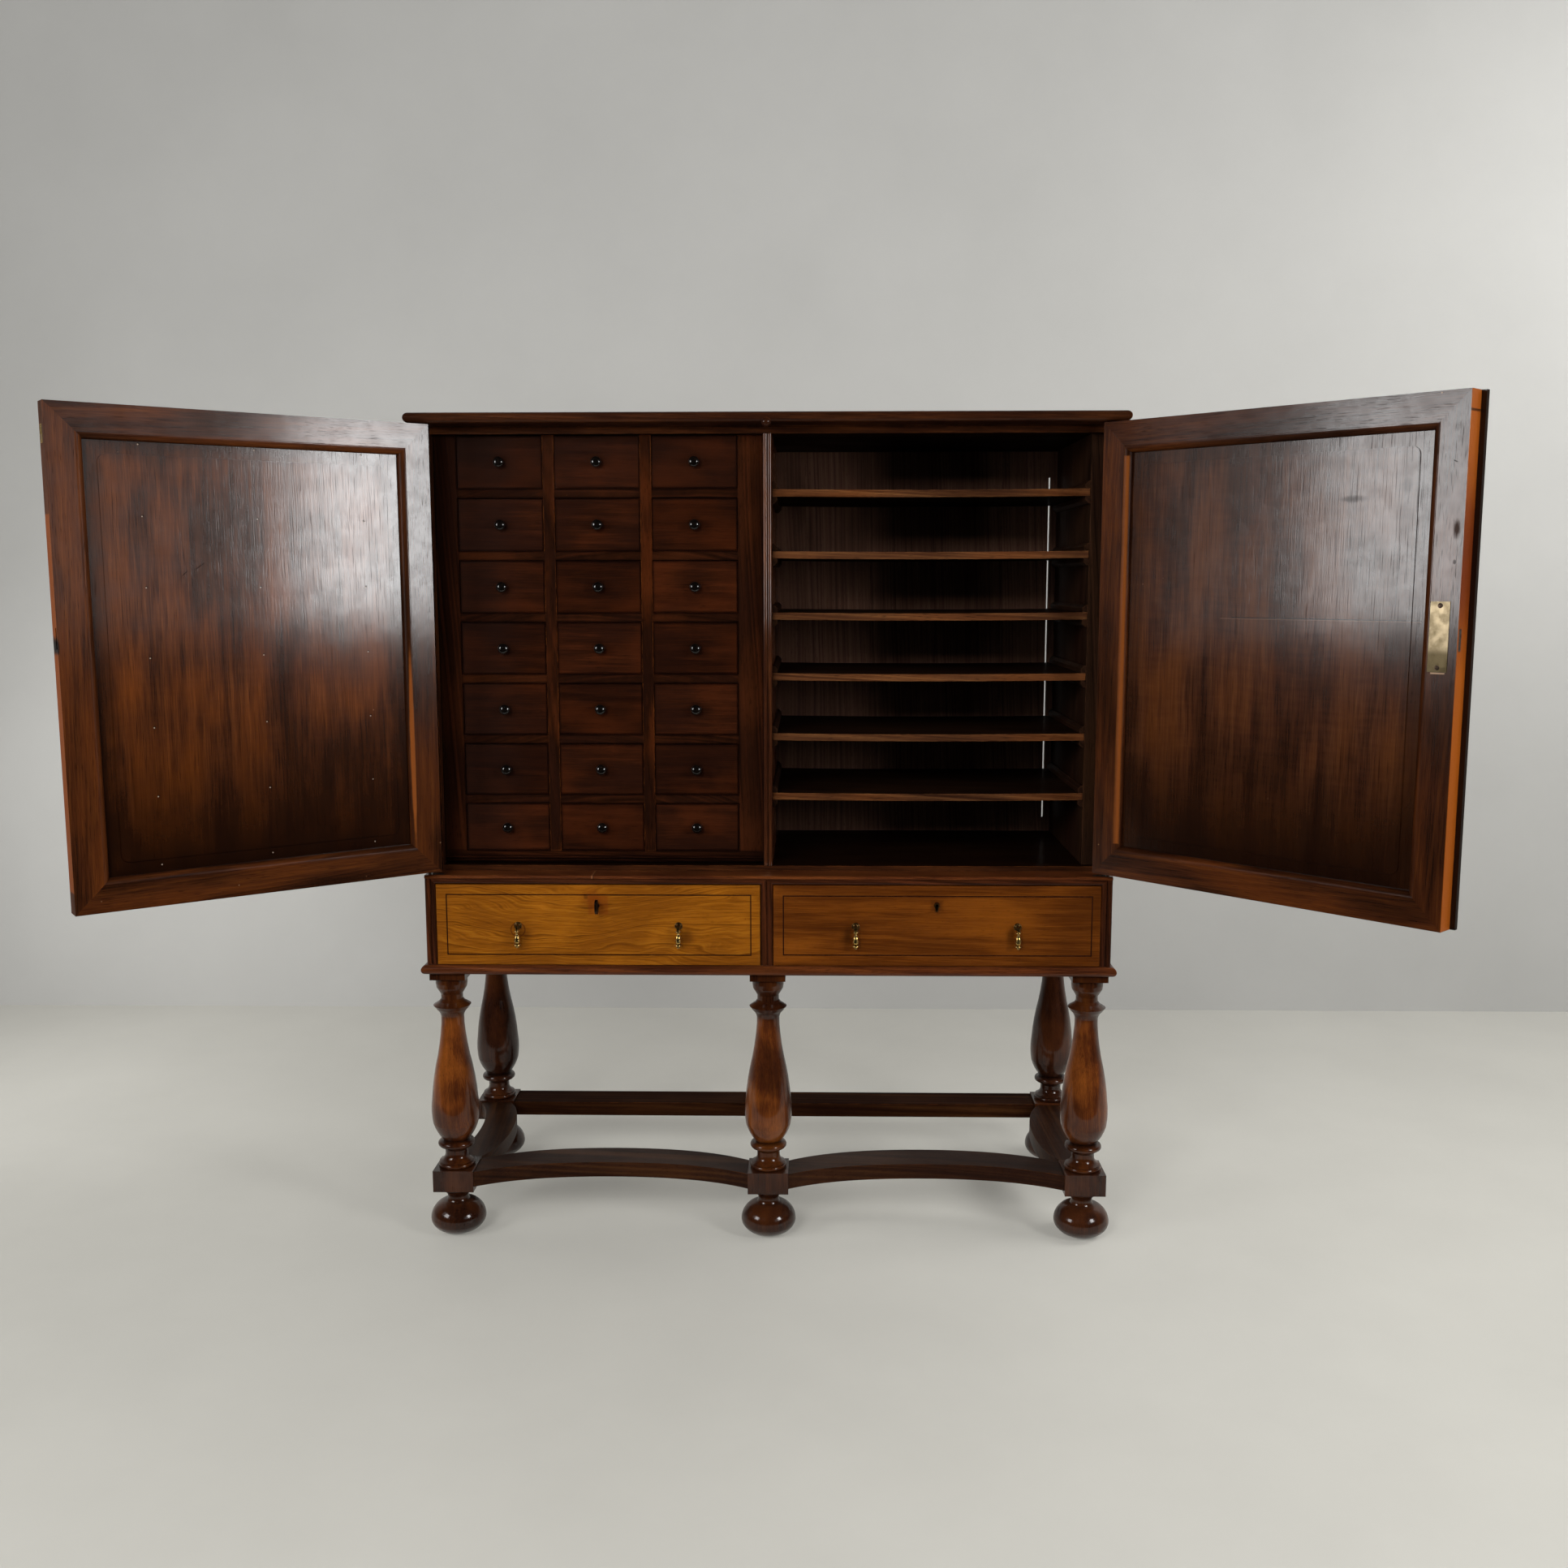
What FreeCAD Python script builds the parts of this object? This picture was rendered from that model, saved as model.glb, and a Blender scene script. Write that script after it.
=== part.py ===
import FreeCAD, Part
import math
import os

# A cabinet on turned legs: a nest of small drawers and a bay of sliding shelves behind
# two panelled doors, over two long drawers, on a stand with bowed stretchers.
# Millimetres. +X to the viewer's right, +Y to the back, +Z up.
# The origin is on the floor, under the middle of the middle front foot.

os.makedirs("parts", exist_ok=True)
Vector = FreeCAD.Vector

# Whole cabinet
case_half_width = 659.0
case_depth = 486.0
front_reach = 41.0
overrun = 5.0
running_gap = 0.08
joint_gap = 0.3
same_place = 0.001

# Feet, blocks, legs and caps
leg_inset = 36.5
back_leg_inset = 39.5
foot_height = 95.0
foot_radius = 54.4
block_size = 80.0
block_height = 43.0
shaft_height = 386.0
shaft_radius = 46.3
cap_size = 69.0
cap_height = 14.7

# Stretchers between the blocks
stretcher_thickness = 30.0
stretcher_drop = 3.0
front_stretcher_width = 72.0
front_stretcher_rise = 56.0
front_stretcher_swell = 6.0
side_stretcher_width = 68.0
side_stretcher_rise = 36.0
back_stretcher_width = 75.0

# Stand: slab, boards, beaded front
slab_height = 18.8
slab_overhang = 10.0
drawer_opening_height = 158.8
stile_width = 20.5
centre_stile_width = 23.4
centre_stile_shift = 1.0
facing_depth = 18.0
bead_height = 3.0
top_bead_width = 10.7
stand_top_height = 16.7
ledge_round = 4.0
back_thickness = 10.0

# Upper case: gables, boards, cornice
upper_height = 848.0
gable_thickness = 24.0
gable_setback = 56.0
case_floor_thickness = 10.0
case_top_thickness = 14.5
cornice_height = 19.0
cornice_reach = 13.0
cornice_overhang = 8.5
band_groove = 3.0
boss_radius = 9.5
boss_front_inset = 6.5
boss_rise = 0.5
partition_thickness = 16.5
partition_shift = 0.45
back_board_count = 9
slit_width = 4.0
slit_inset = 40.0
slit_foot_gap = 40.0
slit_head_gap = 69.0

# Nest of small drawers
nest_setback = 20.0
nest_back_gap = 10.0
nest_stile_width = 44.3
nest_filler_width = 49.0
nest_divider_width = 21.6
nest_side_thickness = 14.0
nest_rail_thickness = 17.4
nest_low_row_loss = 6.3
nest_plinth_height = 25.4
plinth_reed_height = 5.0
nest_columns = 3
nest_rows = 7

# Small drawers and their knobs
small_front_thickness = 14.0
small_front_setback = 1.0
small_side_thickness = 8.0
small_bottom_thickness = 5.0
small_bottom_rise = 3.0
small_side_drop = 6.0
small_side_gap = 0.9
small_top_gap = 1.2
small_rest_gap = 0.4
small_back_gap = 17.0
knob_radius = 10.0
knob_length = 18.0

# Sliding shelves and their runners
shelf_thickness = 13.5
shelf_sag = 2.0
shelf_pitch_share = 0.14123
shelf_count = 6
top_shelf_share = 0.13151
shelf_end_gap = 0.6
shelf_rest_gap = 0.4
shelf_setback = 1.0
runner_height = 14.0
runner_width = 9.5
runner_bevel = 6.0
packer_thickness = 24.0

# Long drawers, their drop pulls and lock
long_side_gap = 1.0
long_top_gap = 1.3
long_rest_gap = 0.5
long_front_thickness = 20.0
long_side_thickness = 12.0
long_bottom_thickness = 9.0
long_bottom_rise = 4.0
long_side_drop = 12.0
long_back_gap = 35.5
long_front_setback = 0.5
pull_height = 77.5
pull_spread = 155.0
rosette_radius = 7.5
rosette_thickness = 3.0
post_radius = 3.0
post_length = 9.0
ear_thickness = 1.5
ear_gap = 0.3
ear_radius = 3.0
tongue_thickness = 2.5
tongue_radius = 2.6
pull_pin_radius = 1.2
pull_reach = 12.0
drop_length = 37.0
drop_radius = 6.8
tongue_length = 4.6
keyhole_height = 118.5
keyhole_radius = 2.6
keyhole_slot_width = 2.6
keyhole_slot_drop = 9.0
lock_case_width = 44.0
lock_case_thickness = 11.0
lock_case_drop = 22.0
lock_case_top_gap = 3.0
lock_cavity_radius = 8.6
lock_cavity_depth = 7.0
drawer_bolt_width = 20.0
drawer_bolt_thickness = 4.0
drawer_bolt_length = 20.0
drawer_bolt_throw = 8.0
key_shank_radius = 2.4
key_bow_height = 28.0
key_bow_length = 21.0
key_bow_thickness = 5.0
key_bow_rim = 4.5
key_collar_radius = 4.0
key_collar_length = 3.0
key_stand_off = 5.0
key_bit_length = 4.5
key_bit_reach = 7.6
key_bit_thickness = 2.0

# Doors
door_edge_inset = 1.5
door_foot_gap = 9.5
door_head_gap = 2.5
door_thickness = 42.0
door_front_lift = 12.0
meeting_shift = 8.5
meeting_gap = 1.5
frame_face_width = 45.0
frame_width = 57.0
frame_moulding_depth = 9.0
frame_back_moulding = 8.0
facing_thickness = 9.0
lip_width = 8.0
lip_clearance = 1.0
lip_play = 0.8
groove_depth = 8.0
groove_setback = 11.0
panel_thickness = 12.0
panel_groove_gap = 1.0
panel_sink = 1.5
panel_sink_border = 22.0
panel_corner_radius = 14.0
pivot_edge_inset = 7.5
pivot_front_inset = 5.0
pivot_radius = 3.0
pivot_depth = 20.0
pivot_plate_length = 34.0
pivot_plate_width = 14.0
pivot_plate_thickness = 2.5
pivot_collar_radius = 5.0
left_door_angle = 142.2
right_door_angle = 133.4

# Door lock on the right door, strike on the left door
lock_plate_width = 30.5
lock_plate_height = 109.0
lock_plate_thickness = 2.0
lock_plate_proud = 1.0
lock_edge_inset = 14.0
lock_height = 463.0
lock_body_depth = 14.0
bolt_height = 34.0
bolt_thickness = 8.0
bolt_length = 38.0
bolt_rise_share = 0.3
bolt_throw = 12.0
strike_depth = 14.0

# Flush bolt on the left door's meeting edge
flush_plate_height = 30.0
flush_plate_width = 14.0
flush_plate_thickness = 2.0
flush_plate_drop = 36.0
flush_pocket_depth = 13.0
flush_rod_radius = 3.0
flush_rod_inset = 7.5
flush_thumb_width = 5.0
flush_thumb_height = 8.0
flush_slot_height = 20.0
flush_throw = 10.0

# Places worked out from the sizes above
leg_spread = case_half_width - leg_inset
front_y = -front_reach
back_y = front_y + case_depth
back_leg_y = back_y - back_leg_inset
block_z = foot_height
shaft_z = block_z + block_height
cap_z = shaft_z + shaft_height
slab_z = cap_z + cap_height
stand_z = slab_z + slab_height
stand_top_z = stand_z + drawer_opening_height
ledge_z = stand_top_z + stand_top_height
soffit_z = ledge_z + upper_height
inner_half_width = case_half_width - gable_thickness
gable_front_y = front_y + gable_setback
nest_front_y = gable_front_y + nest_setback
back_board_y = back_y - back_thickness
nest_back_y = back_board_y - nest_back_gap
case_floor_z = ledge_z + case_floor_thickness
bay_top_z = soffit_z - case_top_thickness
bay_floor_z = case_floor_z
partition_left = partition_shift - partition_thickness / 2
partition_right = partition_left + partition_thickness
packer_left = inner_half_width - packer_thickness
leg_places = [(-leg_spread, 0), (0, 0), (leg_spread, 0), (-leg_spread, back_leg_y), (leg_spread, back_leg_y)]


# Plain shape helpers
def box(x0, x1, y0, y1, z0, z1):
    return Part.makeBox(x1 - x0, y1 - y0, z1 - z0, Vector(x0, y0, z0))


def rod(radius, foot, along):
    return Part.makeCylinder(radius, along.Length, foot, along)


def outline(start, steps, place):
    # each step is (end,) for a straight edge or (via, end) for an arc
    first = place(*start)
    at = first
    edges = []
    for step in steps:
        end = place(*step[-1])
        if len(step) == 2:
            edges.append(Part.Arc(at, place(*step[0]), end).toShape())
        else:
            edges.append(Part.LineSegment(at, end).toShape())
        at = end
    if at.distanceToPoint(first) > same_place:
        edges.append(Part.LineSegment(at, first).toShape())
    return Part.Face(Part.Wire(edges))


def polygon(points, place):
    return outline(points[0], [(point,) for point in points[1:]], place)


def turned(start, steps, foot):
    # a profile of (radius, height) turned about the upright through foot
    face = outline(start, steps, lambda r, z: foot + Vector(r, 0, z))
    return face.revolve(foot, Vector(0, 0, 1), 360)


def turned_forward(start, steps, foot):
    # a profile of (radius, reach) turned about the line through foot towards the front
    face = outline(start, steps, lambda r, reach: foot + Vector(r, -reach, 0))
    return face.revolve(foot, Vector(0, -1, 0), 360)


def scaled(steps, width, height):
    return [tuple((r * width, z * height) for r, z in step) for step in steps]


def save(name, solids):
    shape = solids[0] if len(solids) == 1 else Part.makeCompound(solids)
    shape.exportStep("parts/" + name + ".step")
    print(name, len(solids), "solids")


# Feet, blocks, legs and stretchers
foot_shares = [
    ((0.35, 0.0),),
    ((0.55, 0.037), (0.70, 0.078)),
    ((0.864, 0.152), (0.956, 0.224)),
    ((0.99, 0.28), (1.0, 0.33)),
    ((0.835, 0.57), (0.42, 0.70)),
    ((0.375, 0.78), (0.46, 0.88)),
    ((0.52, 0.925), (0.60, 0.955)),
    ((0.60, 1.0),),
    ((0.0, 1.0),),
]
shaft_shares = [
    ((0.70, 0.0),),
    ((0.78, 0.0117), (0.72, 0.0235)),
    ((0.735, 0.028),),
    ((0.545, 0.045), (0.485, 0.0675)),
    ((0.485, 0.088),),
    ((0.56, 0.0985), (0.68, 0.1055)),
    ((0.775, 0.122), (0.68, 0.137)),
    ((0.56, 0.1435),),
    ((0.805, 0.186), (0.955, 0.231)),
    ((1.0, 0.277), (0.975, 0.36)),
    ((0.86, 0.479), (0.674, 0.59)),
    ((0.56, 0.672), (0.485, 0.755)),
    ((0.482, 0.796),),
    ((0.53, 0.813), (0.67, 0.834)),
    ((0.79, 0.8535),),
    ((0.55, 0.873),),
    ((0.458, 0.888),),
    ((0.458, 0.912),),
    ((0.51, 0.922), (0.64, 0.948)),
    ((0.665, 0.97),),
    ((0.665, 1.0),),
    ((0.0, 1.0),),
]


def bun_feet():
    steps = scaled(foot_shares, foot_radius, foot_height)
    return [turned((0, 0), steps, Vector(x, y, 0)) for x, y in leg_places]


def stretcher_blocks():
    half = block_size / 2
    return [box(x - half, x + half, y - half, y + half, block_z, shaft_z) for x, y in leg_places]


def turned_legs():
    half = cap_size / 2
    steps = scaled(shaft_shares, shaft_radius, shaft_height)
    solids = []
    for x, y in leg_places:
        solids.append(turned((0, 0), steps, Vector(x, y, shaft_z)))
        solids.append(box(x - half, x + half, y - half, y + half, cap_z, slab_z))
    return solids


# how far along a bowed edge, and how much of its rise it has there
bow_shares = [(0.0, 0.0), (0.15, 0.60), (0.33, 0.92), (0.5, 1.0), (0.67, 0.92), (0.85, 0.60), (1.0, 0.0)]


def bowed_edge(start, end, rise, place):
    span = end[0] - start[0]
    points = []
    for along, share in bow_shares:
        level = start[1] + (end[1] - start[1]) * along
        points.append(place(start[0] + span * along, level + rise * share))
    curve = Part.BSplineCurve()
    curve.interpolate(points)
    return curve.toShape()


def bowed_stretcher(x0, x1, low, high, rise_low, rise_high, place):
    # a plank bowed in plan: two curved edges and two square ends
    near = bowed_edge((x0, low), (x1, low), rise_low, place)
    far = bowed_edge((x0, high), (x1, high), rise_high, place)
    end_a = Part.LineSegment(place(x0, low), place(x0, high)).toShape()
    end_b = Part.LineSegment(place(x1, low), place(x1, high)).toShape()
    face = Part.Face(Part.Wire([near, end_b, far, end_a]))
    return face.extrude(Vector(0, 0, stretcher_thickness))


def stretchers():
    z = shaft_z - stretcher_drop - stretcher_thickness
    half_block = block_size / 2
    half_front = front_stretcher_width / 2
    half_side = side_stretcher_width / 2
    half_back = back_stretcher_width / 2
    inner = leg_spread - half_block
    rise = front_stretcher_rise
    solids = []
    for x0, x1 in [(-inner, -half_block), (half_block, inner)]:
        solids.append(bowed_stretcher(x0, x1, -half_front, half_front, rise, rise + front_stretcher_swell,
                                      lambda a, b: Vector(a, b, z)))
    for side in (-1, 1):
        solids.append(bowed_stretcher(half_block, back_leg_y - half_block, -half_side, half_side,
                                      side_stretcher_rise, side_stretcher_rise,
                                      lambda a, b: Vector(side * (leg_spread - b), a, z)))
    solids.append(box(-inner, inner, back_leg_y - half_back, back_leg_y + half_back, z, z + stretcher_thickness))
    return solids


# Slabs with a half-round nose along the front and both ends
def nosed_slab(half_width, y0, y1, z0, height):
    nose = height / 2
    middle = z0 + nose
    front = outline((y1, z0), [((y1, z0 + height),), ((y0 + nose, z0 + height),),
                               ((y0, middle), (y0 + nose, z0))],
                    lambda y, z: Vector(-half_width, y, z))
    along = front.extrude(Vector(2 * half_width, 0, 0))
    inset = half_width - nose
    across = outline((-inset, z0), [((-half_width, middle), (-inset, z0 + height)), ((inset, z0 + height),),
                                    ((half_width, middle), (inset, z0))],
                     lambda x, z: Vector(x, y0, z))
    return along.common(across.extrude(Vector(0, y1 - y0, 0))).Solids[0]


def base_moulding():
    return [nosed_slab(case_half_width + slab_overhang, front_y - slab_overhang, back_y, slab_z, slab_height)]


# Stand: boards behind, beaded facing in front
opening_left = [-case_half_width + stile_width, -centre_stile_shift - centre_stile_width / 2]
opening_right = [-centre_stile_shift + centre_stile_width / 2, case_half_width - stile_width]
long_openings = [opening_left, opening_right]
facing_back_y = front_y + facing_depth
keyhole_z = stand_z + keyhole_height
drawer_front_y = front_y + long_front_setback
drawer_front_back_y = drawer_front_y + long_front_thickness
long_drawer_length = back_board_y - long_back_gap - drawer_front_y
drawer_middles = [(opening[0] + opening[1]) / 2 for opening in long_openings]
bolt_y = drawer_front_back_y + (lock_case_thickness - drawer_bolt_thickness) / 2


def stand_case():
    top_face = outline((back_y, stand_top_z), [((back_y, ledge_z),), ((front_y + ledge_round, ledge_z),),
                       ((front_y + ledge_round * (1 - math.sqrt(0.5)), ledge_z - ledge_round * (1 - math.sqrt(0.5))),
                        (front_y, ledge_z - ledge_round)),
                       ((front_y, stand_top_z + top_bead_width),), ((facing_back_y, stand_top_z + top_bead_width),),
                       ((facing_back_y, stand_top_z),)],
                       lambda y, z: Vector(-case_half_width, y, z))
    top = top_face.extrude(Vector(2 * case_half_width, 0, 0))
    # mortise that the left drawer's bolt rises into
    half = drawer_bolt_width / 2 + joint_gap
    middle = drawer_middles[0]
    rise = drawer_bolt_throw
    top = top.cut(box(middle - half, middle + half, bolt_y - joint_gap, bolt_y + drawer_bolt_thickness + joint_gap,
                      stand_top_z - overrun, stand_top_z + rise))
    for side in (-1, 1):
        top = top.cut(pivot_plate(side, ledge_z - pivot_plate_thickness, pivot_plate_thickness))
    side_depth = (facing_back_y, back_board_y)
    left = box(-case_half_width, opening_left[0], side_depth[0], side_depth[1], stand_z, stand_top_z)
    right = box(opening_right[1], case_half_width, side_depth[0], side_depth[1], stand_z, stand_top_z)
    middle_board = box(opening_left[1], opening_right[0], side_depth[0], side_depth[1], stand_z, stand_top_z)
    back = box(-case_half_width, case_half_width, back_board_y, back_y, stand_z, stand_top_z)
    return [top, left, right, middle_board, back]


def bead_face(width, place):
    return outline((0, facing_depth), [((0, bead_height),), ((width / 2, 0), (width, bead_height)),
                                       ((width, facing_depth),)], place)


def stand_front():
    solids = []
    low = stand_z
    high = stand_top_z
    peak = high + top_bead_width
    outer_bead = stile_width / 2
    inner_bead = centre_stile_width / 2
    depth = Vector(0, facing_depth + overrun, 0)
    for index, (x0, x1) in enumerate(long_openings):
        left_width = outer_bead if index == 0 else inner_bead
        right_width = inner_bead if index == 0 else outer_bead
        jambs = [(x0, -left_width), (x1, right_width)]
        for edge, reach in jambs:
            bead = bead_face(abs(reach), lambda s, y: Vector(edge + math.copysign(s, reach), front_y + y, low))
            bead = bead.extrude(Vector(0, 0, peak - low))
            mitre = polygon([(edge, low), (edge + reach, low), (edge + reach, peak), (edge, high)],
                            lambda x, z: Vector(x, front_y, z))
            solids.append(bead.common(mitre.extrude(depth)).Solids[0])
        head = bead_face(top_bead_width, lambda s, y: Vector(x0 - left_width, front_y + y, high + s))
        head = head.extrude(Vector(x1 - x0 + left_width + right_width, 0, 0))
        mitre = polygon([(x0, high), (x1, high), (x1 + right_width, peak), (x0 - left_width, peak)],
                        lambda x, z: Vector(x, front_y, z))
        solids.append(head.common(mitre.extrude(depth)).Solids[0])
    for side in (-1, 1):
        edge = side * case_half_width
        bead = bead_face(outer_bead, lambda s, y: Vector(edge - side * s, front_y + y, low))
        solids.append(bead.extrude(Vector(0, 0, peak - low)))
    return solids


# Upper case
def gables():
    solids = []
    for side in (-1, 1):
        x0 = min(side * case_half_width, side * inner_half_width)
        solids.append(box(x0, x0 + gable_thickness, gable_front_y, back_y, ledge_z, soffit_z))
    return solids


def case_boards():
    floor = box(-inner_half_width, inner_half_width, gable_front_y, back_board_y, ledge_z, case_floor_z)
    face = polygon([(back_board_y, bay_top_z), (back_board_y, soffit_z), (gable_front_y + band_groove, soffit_z),
                    (gable_front_y + band_groove, soffit_z - band_groove), (gable_front_y, soffit_z - band_groove),
                    (gable_front_y, bay_top_z)],
                   lambda y, z: Vector(-inner_half_width, y, z))
    return [floor, face.extrude(Vector(2 * inner_half_width, 0, 0))]


def back_boards():
    # upright boards edge to edge, one shrunk away from its neighbour over part of its height
    width = 2 * inner_half_width / back_board_count
    slit_half = slit_width / 2
    slit_place = inner_half_width - slit_inset
    edges = [-inner_half_width + width * index for index in range(back_board_count)]
    edges = edges + [slit_place, inner_half_width]
    slit = box(slit_place - slit_half, slit_place + slit_half, back_board_y - overrun, back_y + overrun,
               ledge_z + slit_foot_gap, soffit_z - slit_head_gap)
    solids = []
    for x0, x1 in zip(edges[:-1], edges[1:]):
        board = box(x0, x1, back_board_y, back_y, ledge_z, soffit_z)
        solids.append(board.cut(slit).Solids[0])
    return solids


def centre_partition():
    # its front edge is worked as two half-round beads side by side
    bead = partition_thickness / 2
    y0 = gable_front_y
    quirk = y0 + bead_height
    face = outline((partition_left, back_board_y), [
        ((partition_left, quirk),), ((partition_left + bead / 2, y0), (partition_left + bead, quirk)),
        ((partition_right - bead / 2, y0), (partition_right, quirk)), ((partition_right, back_board_y),)],
        lambda x, y: Vector(x, y, case_floor_z))
    return [face.extrude(Vector(0, 0, bay_top_z - case_floor_z))]


def cornice():
    slab = nosed_slab(case_half_width + cornice_overhang, front_y - cornice_reach, back_y, soffit_z, cornice_height)
    for side in (-1, 1):
        slab = slab.cut(pivot_plate(side, soffit_z, pivot_plate_thickness))
    rod_x = meeting_left - flush_rod_inset
    bore = rod(flush_rod_radius + joint_gap, Vector(rod_x, flush_rod_y, soffit_z - overrun),
               Vector(0, 0, flush_throw + overrun))
    # a small ball under the edge, in front of where the doors meet
    ball = Part.makeSphere(boss_radius, Vector(partition_shift, front_y - boss_front_inset, soffit_z + boss_rise))
    return [slab.cut(bore).fuse(ball).removeSplitter().Solids[0]]


# Nest of small drawers
nest_left = -inner_half_width
nest_right = partition_left
plinth_z = case_floor_z
nest_floor_z = plinth_z + nest_plinth_height
first_column = nest_left + nest_stile_width
column_width = nest_right - nest_filler_width - first_column - nest_divider_width * (nest_columns - 1)
column_width = column_width / nest_columns
column_pitch = column_width + nest_divider_width
columns = []
for index in range(nest_columns):
    left_edge = first_column + column_pitch * index
    columns.append((left_edge, left_edge + column_width))
row_pitch = (bay_top_z - nest_floor_z + nest_rail_thickness + nest_low_row_loss) / nest_rows
rows = []
for index in range(nest_rows):
    row_top = bay_top_z - row_pitch * index
    row_foot = nest_floor_z if index == nest_rows - 1 else row_top - row_pitch + nest_rail_thickness
    rows.append((row_foot, row_top))


def drawer_nest():
    reed = plinth_reed_height
    steps = [((nest_front_y, plinth_z),), ((nest_front_y + reed / 2, plinth_z + reed / 2),),
             ((nest_front_y, plinth_z + reed),)]
    for index in (1, 2):
        low = plinth_z + reed * index
        steps.append(((nest_front_y - reed / 2, low + reed / 2), (nest_front_y, low + reed)))
    steps.append(((nest_front_y, nest_floor_z),))
    steps.append(((nest_back_y, nest_floor_z),))
    plinth = outline((nest_back_y, plinth_z), steps, lambda y, z: Vector(nest_left, y, z))
    solids = [plinth.extrude(Vector(nest_right - nest_left, 0, 0))]
    stile_back_y = nest_front_y + facing_depth
    left_face = columns[0][0]
    right_face = columns[-1][1]
    uprights = [
        (nest_left, left_face, nest_front_y, stile_back_y),
        (left_face - nest_side_thickness, left_face, stile_back_y, nest_back_y),
        (right_face, nest_right, nest_front_y, stile_back_y),
        (right_face, right_face + nest_side_thickness, stile_back_y, nest_back_y),
    ]
    for left_column, right_column in zip(columns[:-1], columns[1:]):
        uprights.append((left_column[1], right_column[0], nest_front_y, nest_back_y))
    for x0, x1, y0, y1 in uprights:
        solids.append(box(x0, x1, y0, y1, nest_floor_z, bay_top_z))
    for x0, x1 in columns:
        for upper, lower in zip(rows[:-1], rows[1:]):
            solids.append(box(x0, x1, nest_front_y, nest_back_y, lower[1], upper[0]))
    return solids


# Small drawers
small_front_y = nest_front_y + small_front_setback
small_drawer_length = nest_back_y - small_back_gap - small_front_y
knob_shares = [
    ((0.55, 0.0),),
    ((0.50, 0.06), (0.44, 0.16)),
    ((0.42, 0.30), (0.62, 0.40)),
    ((1.0, 0.62), (0.80, 0.88)),
    ((0.50, 0.975), (0.14, 1.0)),
    ((0.0, 1.0),),
]


def drawer_box(x0, x1, y0, z0, z1, front, side, bottom, bottom_rise, side_drop, length):
    # a front, two sides, a back and a bottom let in between them
    y1 = y0 + length
    rim = z1 - side_drop
    floor = z0 + bottom_rise
    inside_y = y0 + front
    return [
        box(x0, x1, y0, inside_y, z0, z1),
        box(x0, x0 + side, inside_y, y1, z0, rim),
        box(x1 - side, x1, inside_y, y1, z0, rim),
        box(x0 + side, x1 - side, y1 - side, y1, floor + bottom, rim),
        box(x0 + side, x1 - side, inside_y, y1, floor, floor + bottom),
    ]


def small_drawer(column, row):
    x0 = column[0] + small_side_gap
    x1 = column[1] - small_side_gap
    z0 = row[0] + small_rest_gap
    z1 = row[1] - small_top_gap
    solids = drawer_box(x0, x1, small_front_y, z0, z1, small_front_thickness, small_side_thickness,
                        small_bottom_thickness, small_bottom_rise, small_side_drop, small_drawer_length)
    middle = Vector((x0 + x1) / 2, small_front_y, (z0 + z1) / 2)
    solids.append(turned_forward((0, 0), scaled(knob_shares, knob_radius, knob_length), middle))
    return solids


# Sliding shelves between pairs of runners
shelf_left = partition_right + shelf_end_gap
shelf_right = packer_left - shelf_end_gap
shelf_front_y = nest_front_y + shelf_setback
shelf_levels = []
for index in range(shelf_count):
    drop_share = top_shelf_share + shelf_pitch_share * index
    shelf_levels.append(bay_top_z - (bay_top_z - bay_floor_z) * drop_share)


def shelf(level):
    # a board that has sagged a little in the middle
    low = level - shelf_thickness / 2
    high = level + shelf_thickness / 2
    middle = (shelf_left + shelf_right) / 2
    face = outline((shelf_left, low), [((middle, low - shelf_sag), (shelf_right, low)), ((shelf_right, high),),
                                       ((middle, high - shelf_sag), (shelf_left, high))],
                   lambda x, z: Vector(x, shelf_front_y, z))
    return [face.extrude(Vector(0, nest_back_y - shelf_front_y, 0))]


def shelf_runners():
    solids = [box(packer_left, inner_half_width, nest_front_y, back_board_y, bay_floor_z, bay_top_z)]
    half = shelf_thickness / 2
    bevel = runner_bevel
    for level in shelf_levels:
        under = level - half - shelf_rest_gap
        over = level + half + shelf_rest_gap
        for wall, reach in ((partition_right, runner_width), (packer_left, -runner_width)):
            tip = wall + reach
            shy = tip - math.copysign(bevel, reach)
            for near, far in ((under, under - runner_height), (over, over + runner_height)):
                turn = far + math.copysign(bevel, near - far)
                face = polygon([(wall, near), (tip, near), (tip, turn), (shy, far), (wall, far)],
                               lambda x, z: Vector(x, shelf_front_y, z))
                solids.append(face.extrude(Vector(0, nest_back_y - shelf_front_y, 0)))
    return solids


# Long drawers with their brass
def keyhole(x):
    hole = rod(keyhole_radius, Vector(x, drawer_front_y - overrun, keyhole_z),
               Vector(0, long_front_thickness + 2 * overrun, 0))
    half = keyhole_slot_width / 2
    slot = box(x - half, x + half, drawer_front_y - overrun, drawer_front_back_y + overrun,
               keyhole_z - keyhole_slot_drop, keyhole_z)
    return hole.fuse(slot)


def long_drawer(index):
    opening = long_openings[index]
    x0 = opening[0] + long_side_gap
    x1 = opening[1] - long_side_gap
    z0 = stand_z + long_rest_gap
    z1 = stand_top_z - long_top_gap
    solids = drawer_box(x0, x1, drawer_front_y, z0, z1, long_front_thickness, long_side_thickness,
                        long_bottom_thickness, long_bottom_rise, long_side_drop, long_drawer_length)
    solids[0] = solids[0].cut(keyhole(drawer_middles[index]))
    return solids


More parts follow.
